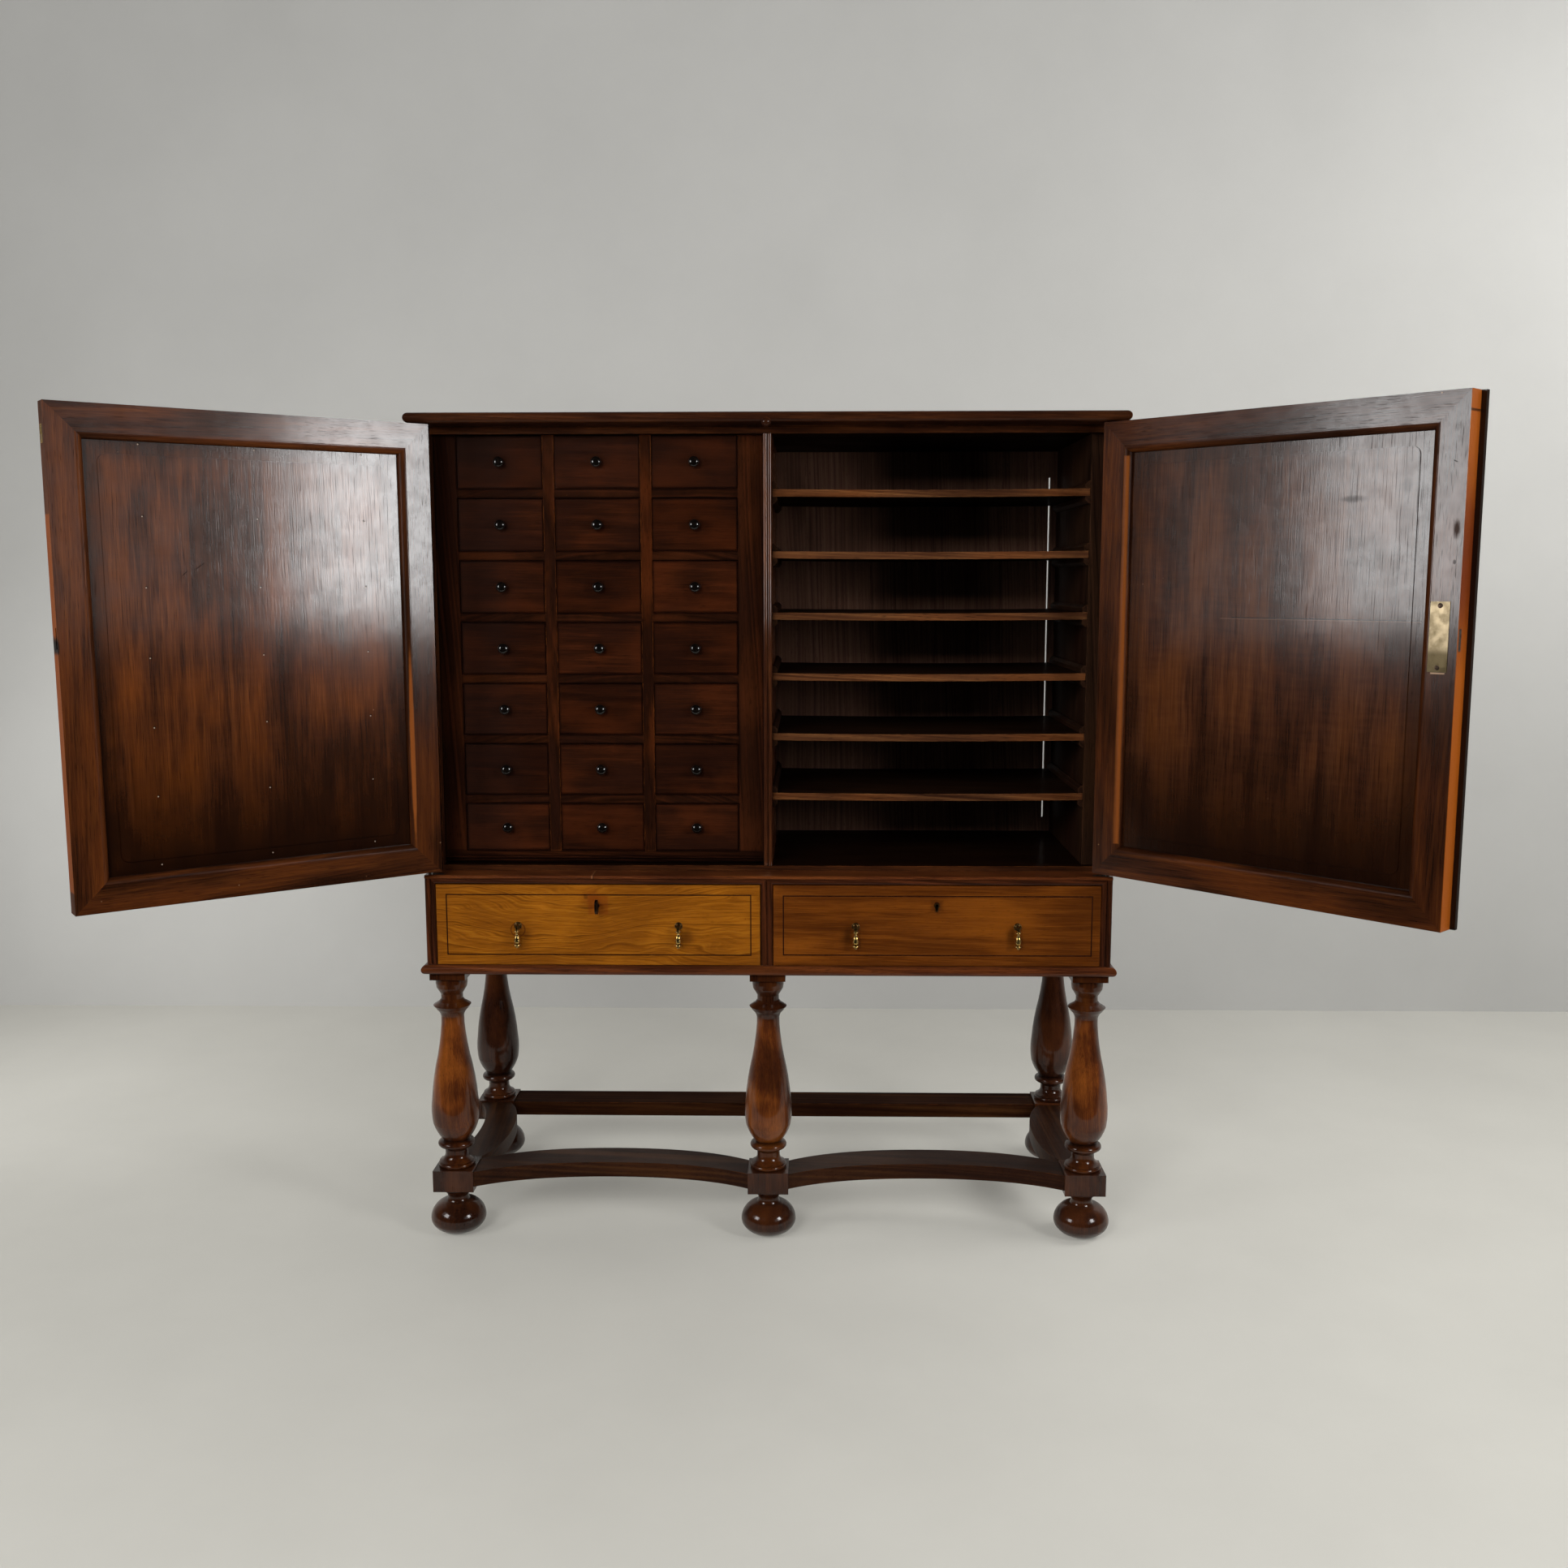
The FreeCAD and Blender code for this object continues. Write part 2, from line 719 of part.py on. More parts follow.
pull_z = stand_z + pull_height
pull_axis_y = drawer_front_y - pull_reach
pull_places = [middle + side * pull_spread for middle in drawer_middles for side in (-1, 1)]
rosette_shares = [
    ((1.0, 0.0),),
    ((0.97, 0.40), (0.82, 0.55)),
    ((0.60, 0.62), (0.45, 1.0)),
    ((0.0, 1.0),),
]
drop_shares = [
    ((0.52, 0.0),),
    ((0.52, 0.07),),
    ((0.78, 0.10), (0.52, 0.15)),
    ((0.34, 0.20), (0.42, 0.27)),
    ((0.76, 0.40), (0.84, 0.55)),
    ((0.80, 0.68), (0.55, 0.76)),
    ((0.92, 0.79), (1.0, 0.825)),
    ((0.92, 0.86), (0.50, 0.89)),
    ((0.44, 0.965), (0.16, 1.0)),
    ((0.0, 1.0),),
]


def pull_post(x):
    foot = Vector(x, drawer_front_y, pull_z)
    rosette = turned_forward((0, 0), scaled(rosette_shares, rosette_radius, rosette_thickness), foot)
    shaft = rod(post_radius, Vector(x, drawer_front_y - rosette_thickness, pull_z),
                Vector(0, rosette_thickness - post_length, 0))
    solid = shaft
    gap = tongue_thickness / 2 + ear_gap
    post_end = drawer_front_y - post_length
    for side in (-1, 1):
        inner = x + side * gap
        ear = rod(ear_radius, Vector(inner, pull_axis_y, pull_z), Vector(side * ear_thickness, 0, 0))
        cheek = box(min(inner, inner + side * ear_thickness), max(inner, inner + side * ear_thickness),
                    pull_axis_y, post_end + post_radius, pull_z - ear_radius, pull_z + ear_radius)
        solid = solid.fuse(ear.fuse(cheek))
    pin_half = gap + ear_thickness
    solid = solid.fuse(rod(pull_pin_radius, Vector(x - pin_half, pull_axis_y, pull_z), Vector(2 * pin_half, 0, 0)))
    bar_end = box(x - gap - ear_thickness, x + gap + ear_thickness, post_end, post_end + post_radius,
                  pull_z - ear_radius, pull_z + ear_radius)
    solid = solid.fuse(bar_end)
    return [rosette, solid.removeSplitter().Solids[0]]


def pull_drop(x):
    half = tongue_thickness / 2
    top = pull_z - tongue_length
    eye = rod(tongue_radius, Vector(x - half, pull_axis_y, pull_z), Vector(tongue_thickness, 0, 0))
    stem = box(x - half, x + half, pull_axis_y - tongue_radius, pull_axis_y + tongue_radius, top, pull_z)
    steps = [tuple((r, -z) for r, z in step) for step in scaled(drop_shares, drop_radius, drop_length)]
    body = turned((0, 0), steps, Vector(x, pull_axis_y, top))
    bore = rod(pull_pin_radius + running_gap, Vector(x - half - overrun, pull_axis_y, pull_z),
               Vector(tongue_thickness + 2 * overrun, 0, 0))
    return [body.fuse(eye.fuse(stem)).cut(bore).removeSplitter().Solids[0]]


# Lock behind the left drawer's front, with its bolt and key
def lock_case(index):
    x = drawer_middles[index]
    half = lock_case_width / 2
    y0 = drawer_front_back_y
    y1 = y0 + lock_case_thickness
    z0 = keyhole_z - lock_case_drop
    z1 = stand_top_z - lock_case_top_gap
    case = box(x - half, x + half, y0, y1, z0, z1)
    cavity = rod(lock_cavity_radius, Vector(x, y0 - overrun, keyhole_z), Vector(0, lock_cavity_depth + overrun, 0))
    bolt_half = drawer_bolt_width / 2 + running_gap
    channel = box(x - bolt_half, x + bolt_half, bolt_y - running_gap, bolt_y + drawer_bolt_thickness + running_gap,
                  z1 - drawer_bolt_length - running_gap, z1 + overrun)
    return case.cut(cavity).cut(channel)


def drawer_lock_bolt():
    x = drawer_middles[0]
    half = drawer_bolt_width / 2
    z1 = stand_top_z - lock_case_top_gap
    return [box(x - half, x + half, bolt_y, bolt_y + drawer_bolt_thickness, z1 - drawer_bolt_length, z1)]


def escutcheon(index):
    x = drawer_middles[index]
    rim = keyhole_slot_width
    thin = rosette_thickness / 4
    y0 = drawer_front_y - thin
    round_part = rod(keyhole_radius + rim, Vector(x, y0, keyhole_z), Vector(0, thin, 0))
    skirt = box(x - rim, x + rim, y0, drawer_front_y, keyhole_z - keyhole_slot_drop - rim, keyhole_z)
    return round_part.fuse(skirt).cut(keyhole(x)).removeSplitter().Solids[0]


def drawer_brass(index):
    solids = []
    for x in pull_places[2 * index:2 * index + 2]:
        solids.extend(pull_post(x))
    solids.append(lock_case(index))
    if index == 1:
        solids.append(escutcheon(index))
    return solids


def drawer_key():
    x = drawer_middles[0]
    shank_end = drawer_front_back_y + key_bit_length
    collar_y = drawer_front_y - key_stand_off
    shank = rod(key_shank_radius, Vector(x, collar_y, keyhole_z), Vector(0, shank_end - collar_y, 0))
    collar = rod(key_collar_radius, Vector(x, collar_y, keyhole_z), Vector(0, -key_collar_length, 0))
    half = key_bit_thickness / 2
    bit = box(x - half, x + half, drawer_front_back_y + joint_gap, shank_end, keyhole_z - key_bit_reach, keyhole_z)
    bow_y = collar_y - key_collar_length - key_bow_length / 2
    half_thick = key_bow_thickness / 2
    rings = []
    for rim in (0, key_bow_rim):
        ellipse = Part.Ellipse(Vector(x - half_thick, bow_y, keyhole_z + key_bow_height / 2 - rim),
                               Vector(x - half_thick, bow_y + key_bow_length / 2 - rim, keyhole_z),
                               Vector(x - half_thick, bow_y, keyhole_z))
        rings.append(Part.Face(Part.Wire(ellipse.toShape())).extrude(Vector(key_bow_thickness, 0, 0)))
    neck = rod(key_shank_radius, Vector(x, collar_y, keyhole_z), Vector(0, -key_collar_length - key_bow_rim / 2, 0))
    bow = rings[0].cut(rings[1])
    return [bow.fuse([neck, collar, shank, bit]).removeSplitter().Solids[0]]


# Doors, drawn shut and then swung open on their pivots.
# A door is drawn with its hinge edge at x = 0 and its meeting edge at x = width.
door_front_y = front_y + door_front_lift
door_back_y = door_front_y + door_thickness
door_z0 = ledge_z + door_foot_gap
door_z1 = soffit_z - door_head_gap
hinge_edge_x = case_half_width - door_edge_inset
meeting_x = -meeting_shift
meeting_left = meeting_x - meeting_gap / 2
meeting_right = meeting_x + meeting_gap / 2
left_width = hinge_edge_x + meeting_left
right_width = hinge_edge_x - meeting_right
pivot_x = hinge_edge_x - pivot_edge_inset
pivot_y = door_front_y + pivot_front_inset
panel_back_y = door_back_y - groove_setback
panel_front_y = panel_back_y - panel_thickness
flush_rod_y = door_back_y - door_thickness / 2


def swing(side, solids):
    # put a door's pieces, drawn in its own place, on the case at the angle it stands open
    placed = []
    for solid in solids:
        piece = solid.copy()
        if side > 0:
            piece = piece.mirror(Vector(0, 0, 0), Vector(1, 0, 0))
        piece.translate(Vector(side * hinge_edge_x, 0, 0))
        angle = right_door_angle if side > 0 else -left_door_angle
        piece.rotate(Vector(side * pivot_x, pivot_y, 0), Vector(0, 0, 1), angle)
        placed.append(piece)
    return placed


def pivot_plate(side, z0, thickness):
    half = pivot_plate_width / 2
    x1 = pivot_x + half
    x0 = x1 - pivot_plate_length
    if side < 0:
        x0, x1 = -x1, -x0
    return box(x0, x1, pivot_y - half, pivot_y + half, z0, z0 + thickness)


def door_pivots():
    solids = []
    for side in (-1, 1):
        foot = Vector(side * pivot_x, pivot_y, ledge_z)
        lower = pivot_plate(side, ledge_z - pivot_plate_thickness, pivot_plate_thickness)
        collar = rod(pivot_collar_radius, foot, Vector(0, 0, door_foot_gap - joint_gap))
        pin = rod(pivot_radius, foot, Vector(0, 0, door_foot_gap + pivot_depth - joint_gap))
        solids.append(lower.fuse([collar, pin]).removeSplitter().Solids[0])
        head = Vector(side * pivot_x, pivot_y, soffit_z)
        upper = pivot_plate(side, soffit_z, pivot_plate_thickness)
        pin = rod(pivot_radius, head, Vector(0, 0, joint_gap - door_head_gap - pivot_depth))
        solids.append(upper.fuse(pin).removeSplitter().Solids[0])
    return solids


def frame_section(lip, place):
    # from the outer edge inwards: face, ovolo, panel groove, ovolo on the outer side, lip
    back = door_back_y
    front = door_front_y
    hollow = frame_width - frame_face_width
    chord = math.sqrt(0.5)
    ovolo_via = (frame_face_width + hollow * chord, back - frame_moulding_depth * (1 - chord))
    ovolo_end = (frame_width, back - frame_moulding_depth)
    groove_floor = frame_width - groove_depth
    front_edge = frame_width - frame_back_moulding
    front_via = (frame_width - frame_back_moulding * (1 - chord), front + frame_back_moulding * (1 - chord))
    steps = [
        ((frame_face_width, back),),
        (ovolo_via, ovolo_end),
        ((frame_width, panel_back_y),),
        ((groove_floor, panel_back_y),),
        ((groove_floor, panel_front_y),),
        ((frame_width, panel_front_y),),
        ((frame_width, front + frame_back_moulding),),
        (front_via, (front_edge, front)),
    ]
    if lip == 0:
        steps.append(((0, front),))
    else:
        steps.append(((-lip, front),))
        steps.append(((-lip, front + facing_thickness),))
        steps.append(((0, front + facing_thickness),))
    return outline((0, back), steps, place)


def door_frame(width, lip):
    z0 = door_z0
    z1 = door_z1
    w = frame_width
    depth = Vector(0, door_thickness + 2 * overrun, 0)
    start_y = door_front_y - overrun
    members = [
        (frame_section(0, lambda s, y: Vector(0, y, z0 + s)), Vector(width, 0, 0),
         [(0, z0), (width, z0), (width - w, z0 + w), (w, z0 + w)]),
        (frame_section(0, lambda s, y: Vector(0, y, z1 - s)), Vector(width, 0, 0),
         [(0, z1), (width, z1), (width - w, z1 - w), (w, z1 - w)]),
        (frame_section(0, lambda s, y: Vector(s, y, z0)), Vector(0, 0, z1 - z0),
         [(0, z0), (w, z0 + w), (w, z1 - w), (0, z1)]),
        (frame_section(lip, lambda s, y: Vector(width - s, y, z0)), Vector(0, 0, z1 - z0),
         [(width + lip, z0), (width, z0), (width - w, z0 + w), (width - w, z1 - w), (width, z1),
          (width + lip, z1)] if lip else
         [(width, z0), (width - w, z0 + w), (width - w, z1 - w), (width, z1)]),
    ]
    solids = []
    for face, along, corners in members:
        mitre = polygon(corners, lambda x, z: Vector(x, start_y, z)).extrude(depth)
        solids.append(face.extrude(along).common(mitre).Solids[0])
    return solids


def with_pivot_bores(solids):
    radius = pivot_radius + running_gap
    bores = [
        rod(radius, Vector(pivot_edge_inset, pivot_y, door_z0 - overrun), Vector(0, 0, pivot_depth + overrun)),
        rod(radius, Vector(pivot_edge_inset, pivot_y, door_z1 + overrun), Vector(0, 0, -pivot_depth - overrun)),
    ]
    return cut_all(solids, bores)


def cut_all(solids, tools):
    cut = []
    for solid in solids:
        for tool in tools:
            solid = solid.cut(tool)
        cut.append(solid.Solids[0])
    return cut


def door_panel(width):
    # a thin board held in the frame's groove, its inner face sunk round the border
    inset = frame_width - groove_depth + panel_groove_gap
    x0 = inset
    x1 = width - inset
    z0 = door_z0 + inset
    z1 = door_z1 - inset
    board = box(x0, x1, panel_front_y, panel_back_y, z0, z1)
    border = box(x0 - overrun, x1 + overrun, panel_back_y - panel_sink, panel_back_y + overrun,
                 z0 - overrun, z1 + overrun)
    rim = frame_width + panel_sink_border
    r = panel_corner_radius
    left, right, low, high = rim, width - rim, door_z0 + rim, door_z1 - rim
    chord = r * (1 - math.sqrt(0.5))
    field = outline((left + r, low), [
        ((right - r, low),), ((right - chord, low + chord), (right, low + r)),
        ((right, high - r),), ((right - chord, high - chord), (right - r, high)),
        ((left + r, high),), ((left + chord, high - chord), (left, high - r)),
        ((left, low + r),), ((left + chord, low + chord), (left + r, low))],
        lambda x, z: Vector(x, panel_back_y - panel_thickness, z))
    field = field.extrude(Vector(0, 2 * panel_thickness, 0))
    held = box(x0, x1, panel_front_y, panel_back_y, z0, z1).cut(
        box(frame_width, width - frame_width, panel_front_y, panel_back_y,
            door_z0 + frame_width, door_z1 - frame_width))
    return [board.cut(border.cut(field).cut(held)).Solids[0]]


# Lock let into the right door's meeting stile; bolt through its edge
lock_z0 = door_z0 + lock_height - lock_plate_height / 2
lock_z1 = lock_z0 + lock_plate_height
lock_x1 = right_width - lock_edge_inset
lock_x0 = lock_x1 - lock_plate_width
lock_back_y = door_back_y
bolt_z0 = lock_z0 + lock_plate_height * bolt_rise_share
bolt_z1 = bolt_z0 + bolt_height
door_bolt_y0 = door_back_y - lock_body_depth + (lock_body_depth - lock_plate_thickness - bolt_thickness) / 2
door_bolt_y1 = door_bolt_y0 + bolt_thickness


def lock_body():
    return box(lock_x0, lock_x1, lock_back_y - lock_body_depth, lock_back_y, lock_z0, lock_z1)


def bolt_channel(clearance):
    return box(right_width - bolt_length - clearance, right_width + overrun, door_bolt_y0 - clearance,
               door_bolt_y1 + clearance, bolt_z0 - clearance, bolt_z1 + clearance)


def door_lock():
    plate = box(lock_x0, lock_x1, lock_back_y, lock_back_y + lock_plate_proud, lock_z0, lock_z1)
    return [lock_body().fuse(plate).removeSplitter().cut(bolt_channel(running_gap)).Solids[0]]


def lock_bolt():
    return [box(right_width - bolt_length, right_width, door_bolt_y0, door_bolt_y1, bolt_z0, bolt_z1)]


def strike_mortise():
    # in the left door's meeting edge, facing the bolt when both doors are shut
    return box(left_width - strike_depth, left_width + overrun, door_bolt_y0 - joint_gap, door_bolt_y1 + joint_gap,
               bolt_z0 - joint_gap, bolt_z1 + joint_gap)


# Flush bolt at the top of the left door's meeting edge
flush_plate_z1 = door_z1 - flush_plate_drop
flush_plate_z0 = flush_plate_z1 - flush_plate_height
flush_rod_x = left_width - flush_rod_inset
flush_thumb_z0 = flush_plate_z0 + (flush_plate_height - flush_slot_height) / 2


def flush_cuts():
    half = flush_plate_width / 2
    recess = box(left_width - flush_plate_thickness, left_width + overrun, flush_rod_y - half, flush_rod_y + half,
                 flush_plate_z0, flush_plate_z1)
    reach = flush_rod_radius + joint_gap
    pocket = box(left_width - flush_pocket_depth, left_width, flush_rod_y - reach, flush_rod_y + reach,
                 flush_thumb_z0, flush_thumb_z0 + flush_slot_height)
    bore = rod(flush_rod_radius + running_gap, Vector(flush_rod_x, flush_rod_y, flush_thumb_z0),
               Vector(0, 0, door_z1 - flush_thumb_z0 + overrun))
    return [recess, pocket, bore]


def flush_bolt_plate():
    half = flush_plate_width / 2
    slot_half = flush_thumb_width / 2 + joint_gap
    plate = box(left_width - flush_plate_thickness, left_width, flush_rod_y - half, flush_rod_y + half,
                flush_plate_z0, flush_plate_z1)
    slot = box(left_width - flush_plate_thickness - overrun, left_width + overrun, flush_rod_y - slot_half,
               flush_rod_y + slot_half, flush_thumb_z0, flush_thumb_z0 + flush_slot_height)
    return [plate.cut(slot)]


def flush_bolt():
    foot_z = flush_thumb_z0 + joint_gap
    bolt = rod(flush_rod_radius, Vector(flush_rod_x, flush_rod_y, foot_z), Vector(0, 0, door_z1 - foot_z))
    half = flush_thumb_width / 2
    thumb = box(flush_rod_x, left_width, flush_rod_y - half, flush_rod_y + half, foot_z, foot_z + flush_thumb_height)
    return [bolt.fuse(thumb).removeSplitter().Solids[0]]


def lip_rebate():
    # the other door's lip lies in it over the whole height, with a little play
    return box(left_width - lip_width - lip_clearance, left_width + overrun, door_front_y - overrun,
               door_front_y + facing_thickness + lip_play, door_z0 - overrun, door_z1 + overrun)


def left_door():
    frame = door_frame(left_width, 0)
    return cut_all(with_pivot_bores(frame), flush_cuts() + [strike_mortise(), lip_rebate()])


def right_door():
    frame = door_frame(right_width, lip_width)
    return cut_all(with_pivot_bores(frame), [lock_body(), bolt_channel(running_gap)])


def main():
    save("bun_feet", bun_feet())
    save("stretcher_blocks", stretcher_blocks())
    save("turned_legs", turned_legs())
    save("stretchers", stretchers())
    save("base_moulding", base_moulding())
    save("stand_case", stand_case())
    save("stand_front", stand_front())
    save("gables", gables())
    save("case_boards", case_boards())
    save("back_boards", back_boards())
    save("centre_partition", centre_partition())
    save("cornice", cornice())
    save("drawer_nest", drawer_nest())
    for column_index, column in enumerate(columns):
        for row_index, row in enumerate(rows):
            save("small_drawer_%d_%d" % (column_index + 1, row_index + 1), small_drawer(column, row))
    save("shelf_runners", shelf_runners())
    for index, level in enumerate(shelf_levels):
        save("shelf_%d" % (index + 1), shelf(level))
    for index, name in enumerate(("left", "right")):
        save("long_drawer_" + name, long_drawer(index))
        save("drawer_brass_" + name, drawer_brass(index))
    for index, x in enumerate(pull_places):
        save("pull_drop_%d" % (index + 1), pull_drop(x))
    save("drawer_lock_bolt", drawer_lock_bolt())
    save("drawer_key", drawer_key())
    save("door_pivots", door_pivots())
    save("door_frame_left", swing(-1, left_door()))
    save("door_panel_left", swing(-1, door_panel(left_width)))
    save("flush_bolt_plate", swing(-1, flush_bolt_plate()))
    save("flush_bolt", swing(-1, flush_bolt()))
    save("door_frame_right", swing(1, right_door()))
    save("door_panel_right", swing(1, door_panel(right_width)))
    save("door_lock", swing(1, door_lock()))
    save("lock_bolt", swing(1, lock_bolt()))


main()
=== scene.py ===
import math
from functools import partial

import bpy
import numpy as np
from mathutils import Matrix, Vector


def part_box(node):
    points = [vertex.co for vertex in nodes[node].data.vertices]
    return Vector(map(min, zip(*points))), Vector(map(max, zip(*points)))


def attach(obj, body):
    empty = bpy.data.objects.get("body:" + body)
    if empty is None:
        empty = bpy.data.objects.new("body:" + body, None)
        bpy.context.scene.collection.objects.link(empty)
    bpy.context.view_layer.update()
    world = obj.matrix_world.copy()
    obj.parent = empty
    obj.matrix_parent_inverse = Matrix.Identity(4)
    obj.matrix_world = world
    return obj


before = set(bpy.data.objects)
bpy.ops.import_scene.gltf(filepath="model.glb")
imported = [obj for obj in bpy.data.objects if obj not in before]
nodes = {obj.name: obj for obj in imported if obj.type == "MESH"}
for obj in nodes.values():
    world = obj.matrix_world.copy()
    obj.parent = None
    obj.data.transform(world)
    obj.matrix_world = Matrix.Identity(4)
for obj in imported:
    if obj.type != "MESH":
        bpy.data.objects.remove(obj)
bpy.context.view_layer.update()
print("frame loaded,", len(nodes), "nodes")

# Each door's pivot in metres, and the degrees that it stands open
doorStand = {
    "left": {"pivot": (-0.650, -0.024), "turn": -142.2},
    "right": {"pivot": (0.650, -0.024), "turn": 133.4},
}


def linear(colour):
    # sRGB hex to the linear numbers that a socket takes
    parts = [int(colour[i:i + 2], 16) / 255 for i in (1, 3, 5)]
    return [p / 12.92 if p < 0.04045 else ((p + 0.055) / 1.055) ** 2.4 for p in parts] + [1]


def addNode(material, kind, settings=None, sockets=None):
    tree = material.node_tree
    node = tree.nodes.new("ShaderNode" + kind)
    for name, value in (settings or {}).items():
        if name == "stops":
            while len(node.color_ramp.elements) < len(value):
                node.color_ramp.elements.new(1)
            for element, (place, colour) in zip(node.color_ramp.elements, value):
                element.position = place
                element.color = linear(colour)
        else:
            setattr(node, name, value)
    for name, value in (sockets or {}).items():
        socket = node.inputs[name]
        if isinstance(value, bpy.types.Node):
            value = value.outputs[0]
        if isinstance(value, bpy.types.NodeSocket):
            tree.links.new(value, socket)
        elif isinstance(value, str):
            socket.default_value = linear(value)
        else:
            socket.default_value = value
    return node


# Settings that many nodes share: smooth is a range with a soft start and end
smooth = {"interpolation_type": "SMOOTHSTEP"}
multiply = {"operation": "MULTIPLY"}
multiplyAdd = {"operation": "MULTIPLY_ADD"}


def newMaterial(name):
    # with it comes addNode for this material alone
    material = bpy.data.materials.new(name)
    material.use_nodes = True
    material.node_tree.nodes.clear()
    return material, partial(addNode, material)


def millimetres(add, door=None):
    # object coordinates in millimetres, or a door's own: x from its pivot, y through it, z up
    place = add("TexCoord").outputs["Object"]
    stand = doorStand[door] if door else {"pivot": (0, 0), "turn": 0}
    return add("Mapping", {"vector_type": "TEXTURE"}, {
        "Vector": place,
        "Location": (*stand["pivot"], 0),
        "Rotation": (0, 0, math.radians(stand["turn"])),
        "Scale": (0.001, 0.001, 0.001),
    })


def stretched(add, place, width, length, detail, roughness, turn=(0, 0, 0)):
    # noise drawn out along z: width and length of its spots in mm
    longer = add("Mapping", None, {
        "Vector": place, "Scale": (1 / width, 1 / width, 1 / length), "Rotation": turn})
    return add("TexNoise", None, {
        "Vector": longer, "Scale": 1.0, "Detail": detail, "Roughness": roughness})


grainAxes = {"x": ("Z", "Y", "X"), "y": ("X", "Z", "Y"), "z": ("X", "Y", "Z")}


def alongGrain(add, place, grain):
    # across, through and along the board
    split = add("SeparateXYZ", None, {0: place})
    across, through, along = grainAxes[grain]
    return add("CombineXYZ", None, {
        "X": split.outputs[across], "Y": split.outputs[through], "Z": split.outputs[along]})


woodHabit = {
    "deep": "#24100a",         # late wood and old polish in the grain
    "middle": "#4a2814",
    "pale": "#6e4122",
    "ringWidth": 9.0,          # mm between growth rings
    "lean": (2.0, 3.5),        # degrees that the tree's axis leans out of the board
    "heart": (60.0, 90.0),     # mm from the board to the tree's middle
    "wander": 26.0,            # mm that the rings wander
    "wanderSize": 260.0,
    "ringShare": 0.55,
    "streakShare": 0.25,
    "fibreShare": 0.20,
    "streakWidth": 13.0,
    "fibreWidth": 1.7,
    "poreWidth": 1.3,          # real ones are 0.2 mm wide, drawn coarser so that they show
    "poreLength": 17.0,
    "poreDepth": 0.45,
    "streakLength": 31.25,     # times its width
    "fibreLength": 100 / 3,
    "curlShare": 0.0,          # ripples across the grain
    "curl": (55.0, 9.0),       # mm across the board and along it
    "nickShare": 0.0,          # small knocks that show pale wood
    "nick": "#a8815f",
    "cloudSize": 150.0,
    "cloudLength": 1.7,        # clouds are this much longer along the grain
    "cloud": "#1c0c07",
    "cloudShare": 0.55,
    "amber": "#7a4015",        # old polish worn thin and warm
    "amberShare": 0.2,
    # grime: dirt and painted shade in corners, darker where ambient occlusion is high
    "grimeAndCornerShade": "#0d0503",
    "grimeAndCornerShadeShare": 0.75,
    "grimeAndCornerShadeReach": 0.012,       # metres that dirt reaches out of a corner
    "wearAndGapShadow": "#8a5228",
    "wearAndGapShadowShare": 0.5,
    "wearAndGapShadowWidth": 0.0022,
    "wearAndGapShadowPatch": (0.42, 0.62), # lower numbers wear the edge all along
    "roughness": (0.34, 0.5),
    "sheen": 0.12,             # the wood under the polish hardly shines of itself, and warmly
    "tint": "#7a3c1a",
    "coat": 0.55,
    "coatRoughness": 0.16,
    "dullShare": 0.25,         # of the polish, worn off in patches
    "bump": 0.25,
    "skin": 0.09,
    "spread": 1.0,             # how far one board differs from the next
    "tone": 0.14,              # lighter or darker at most
    "shift": (310.0, 170.0, 2300.0),   # mm that its figure is moved at most
    "patchSize": 34.0,         # of worn edges and dull polish
    "rippleSize": 46.0,
    "nickSpacing": 38.0,
    "relief": 0.0006,          # metres that the grain and the polish stand up
}


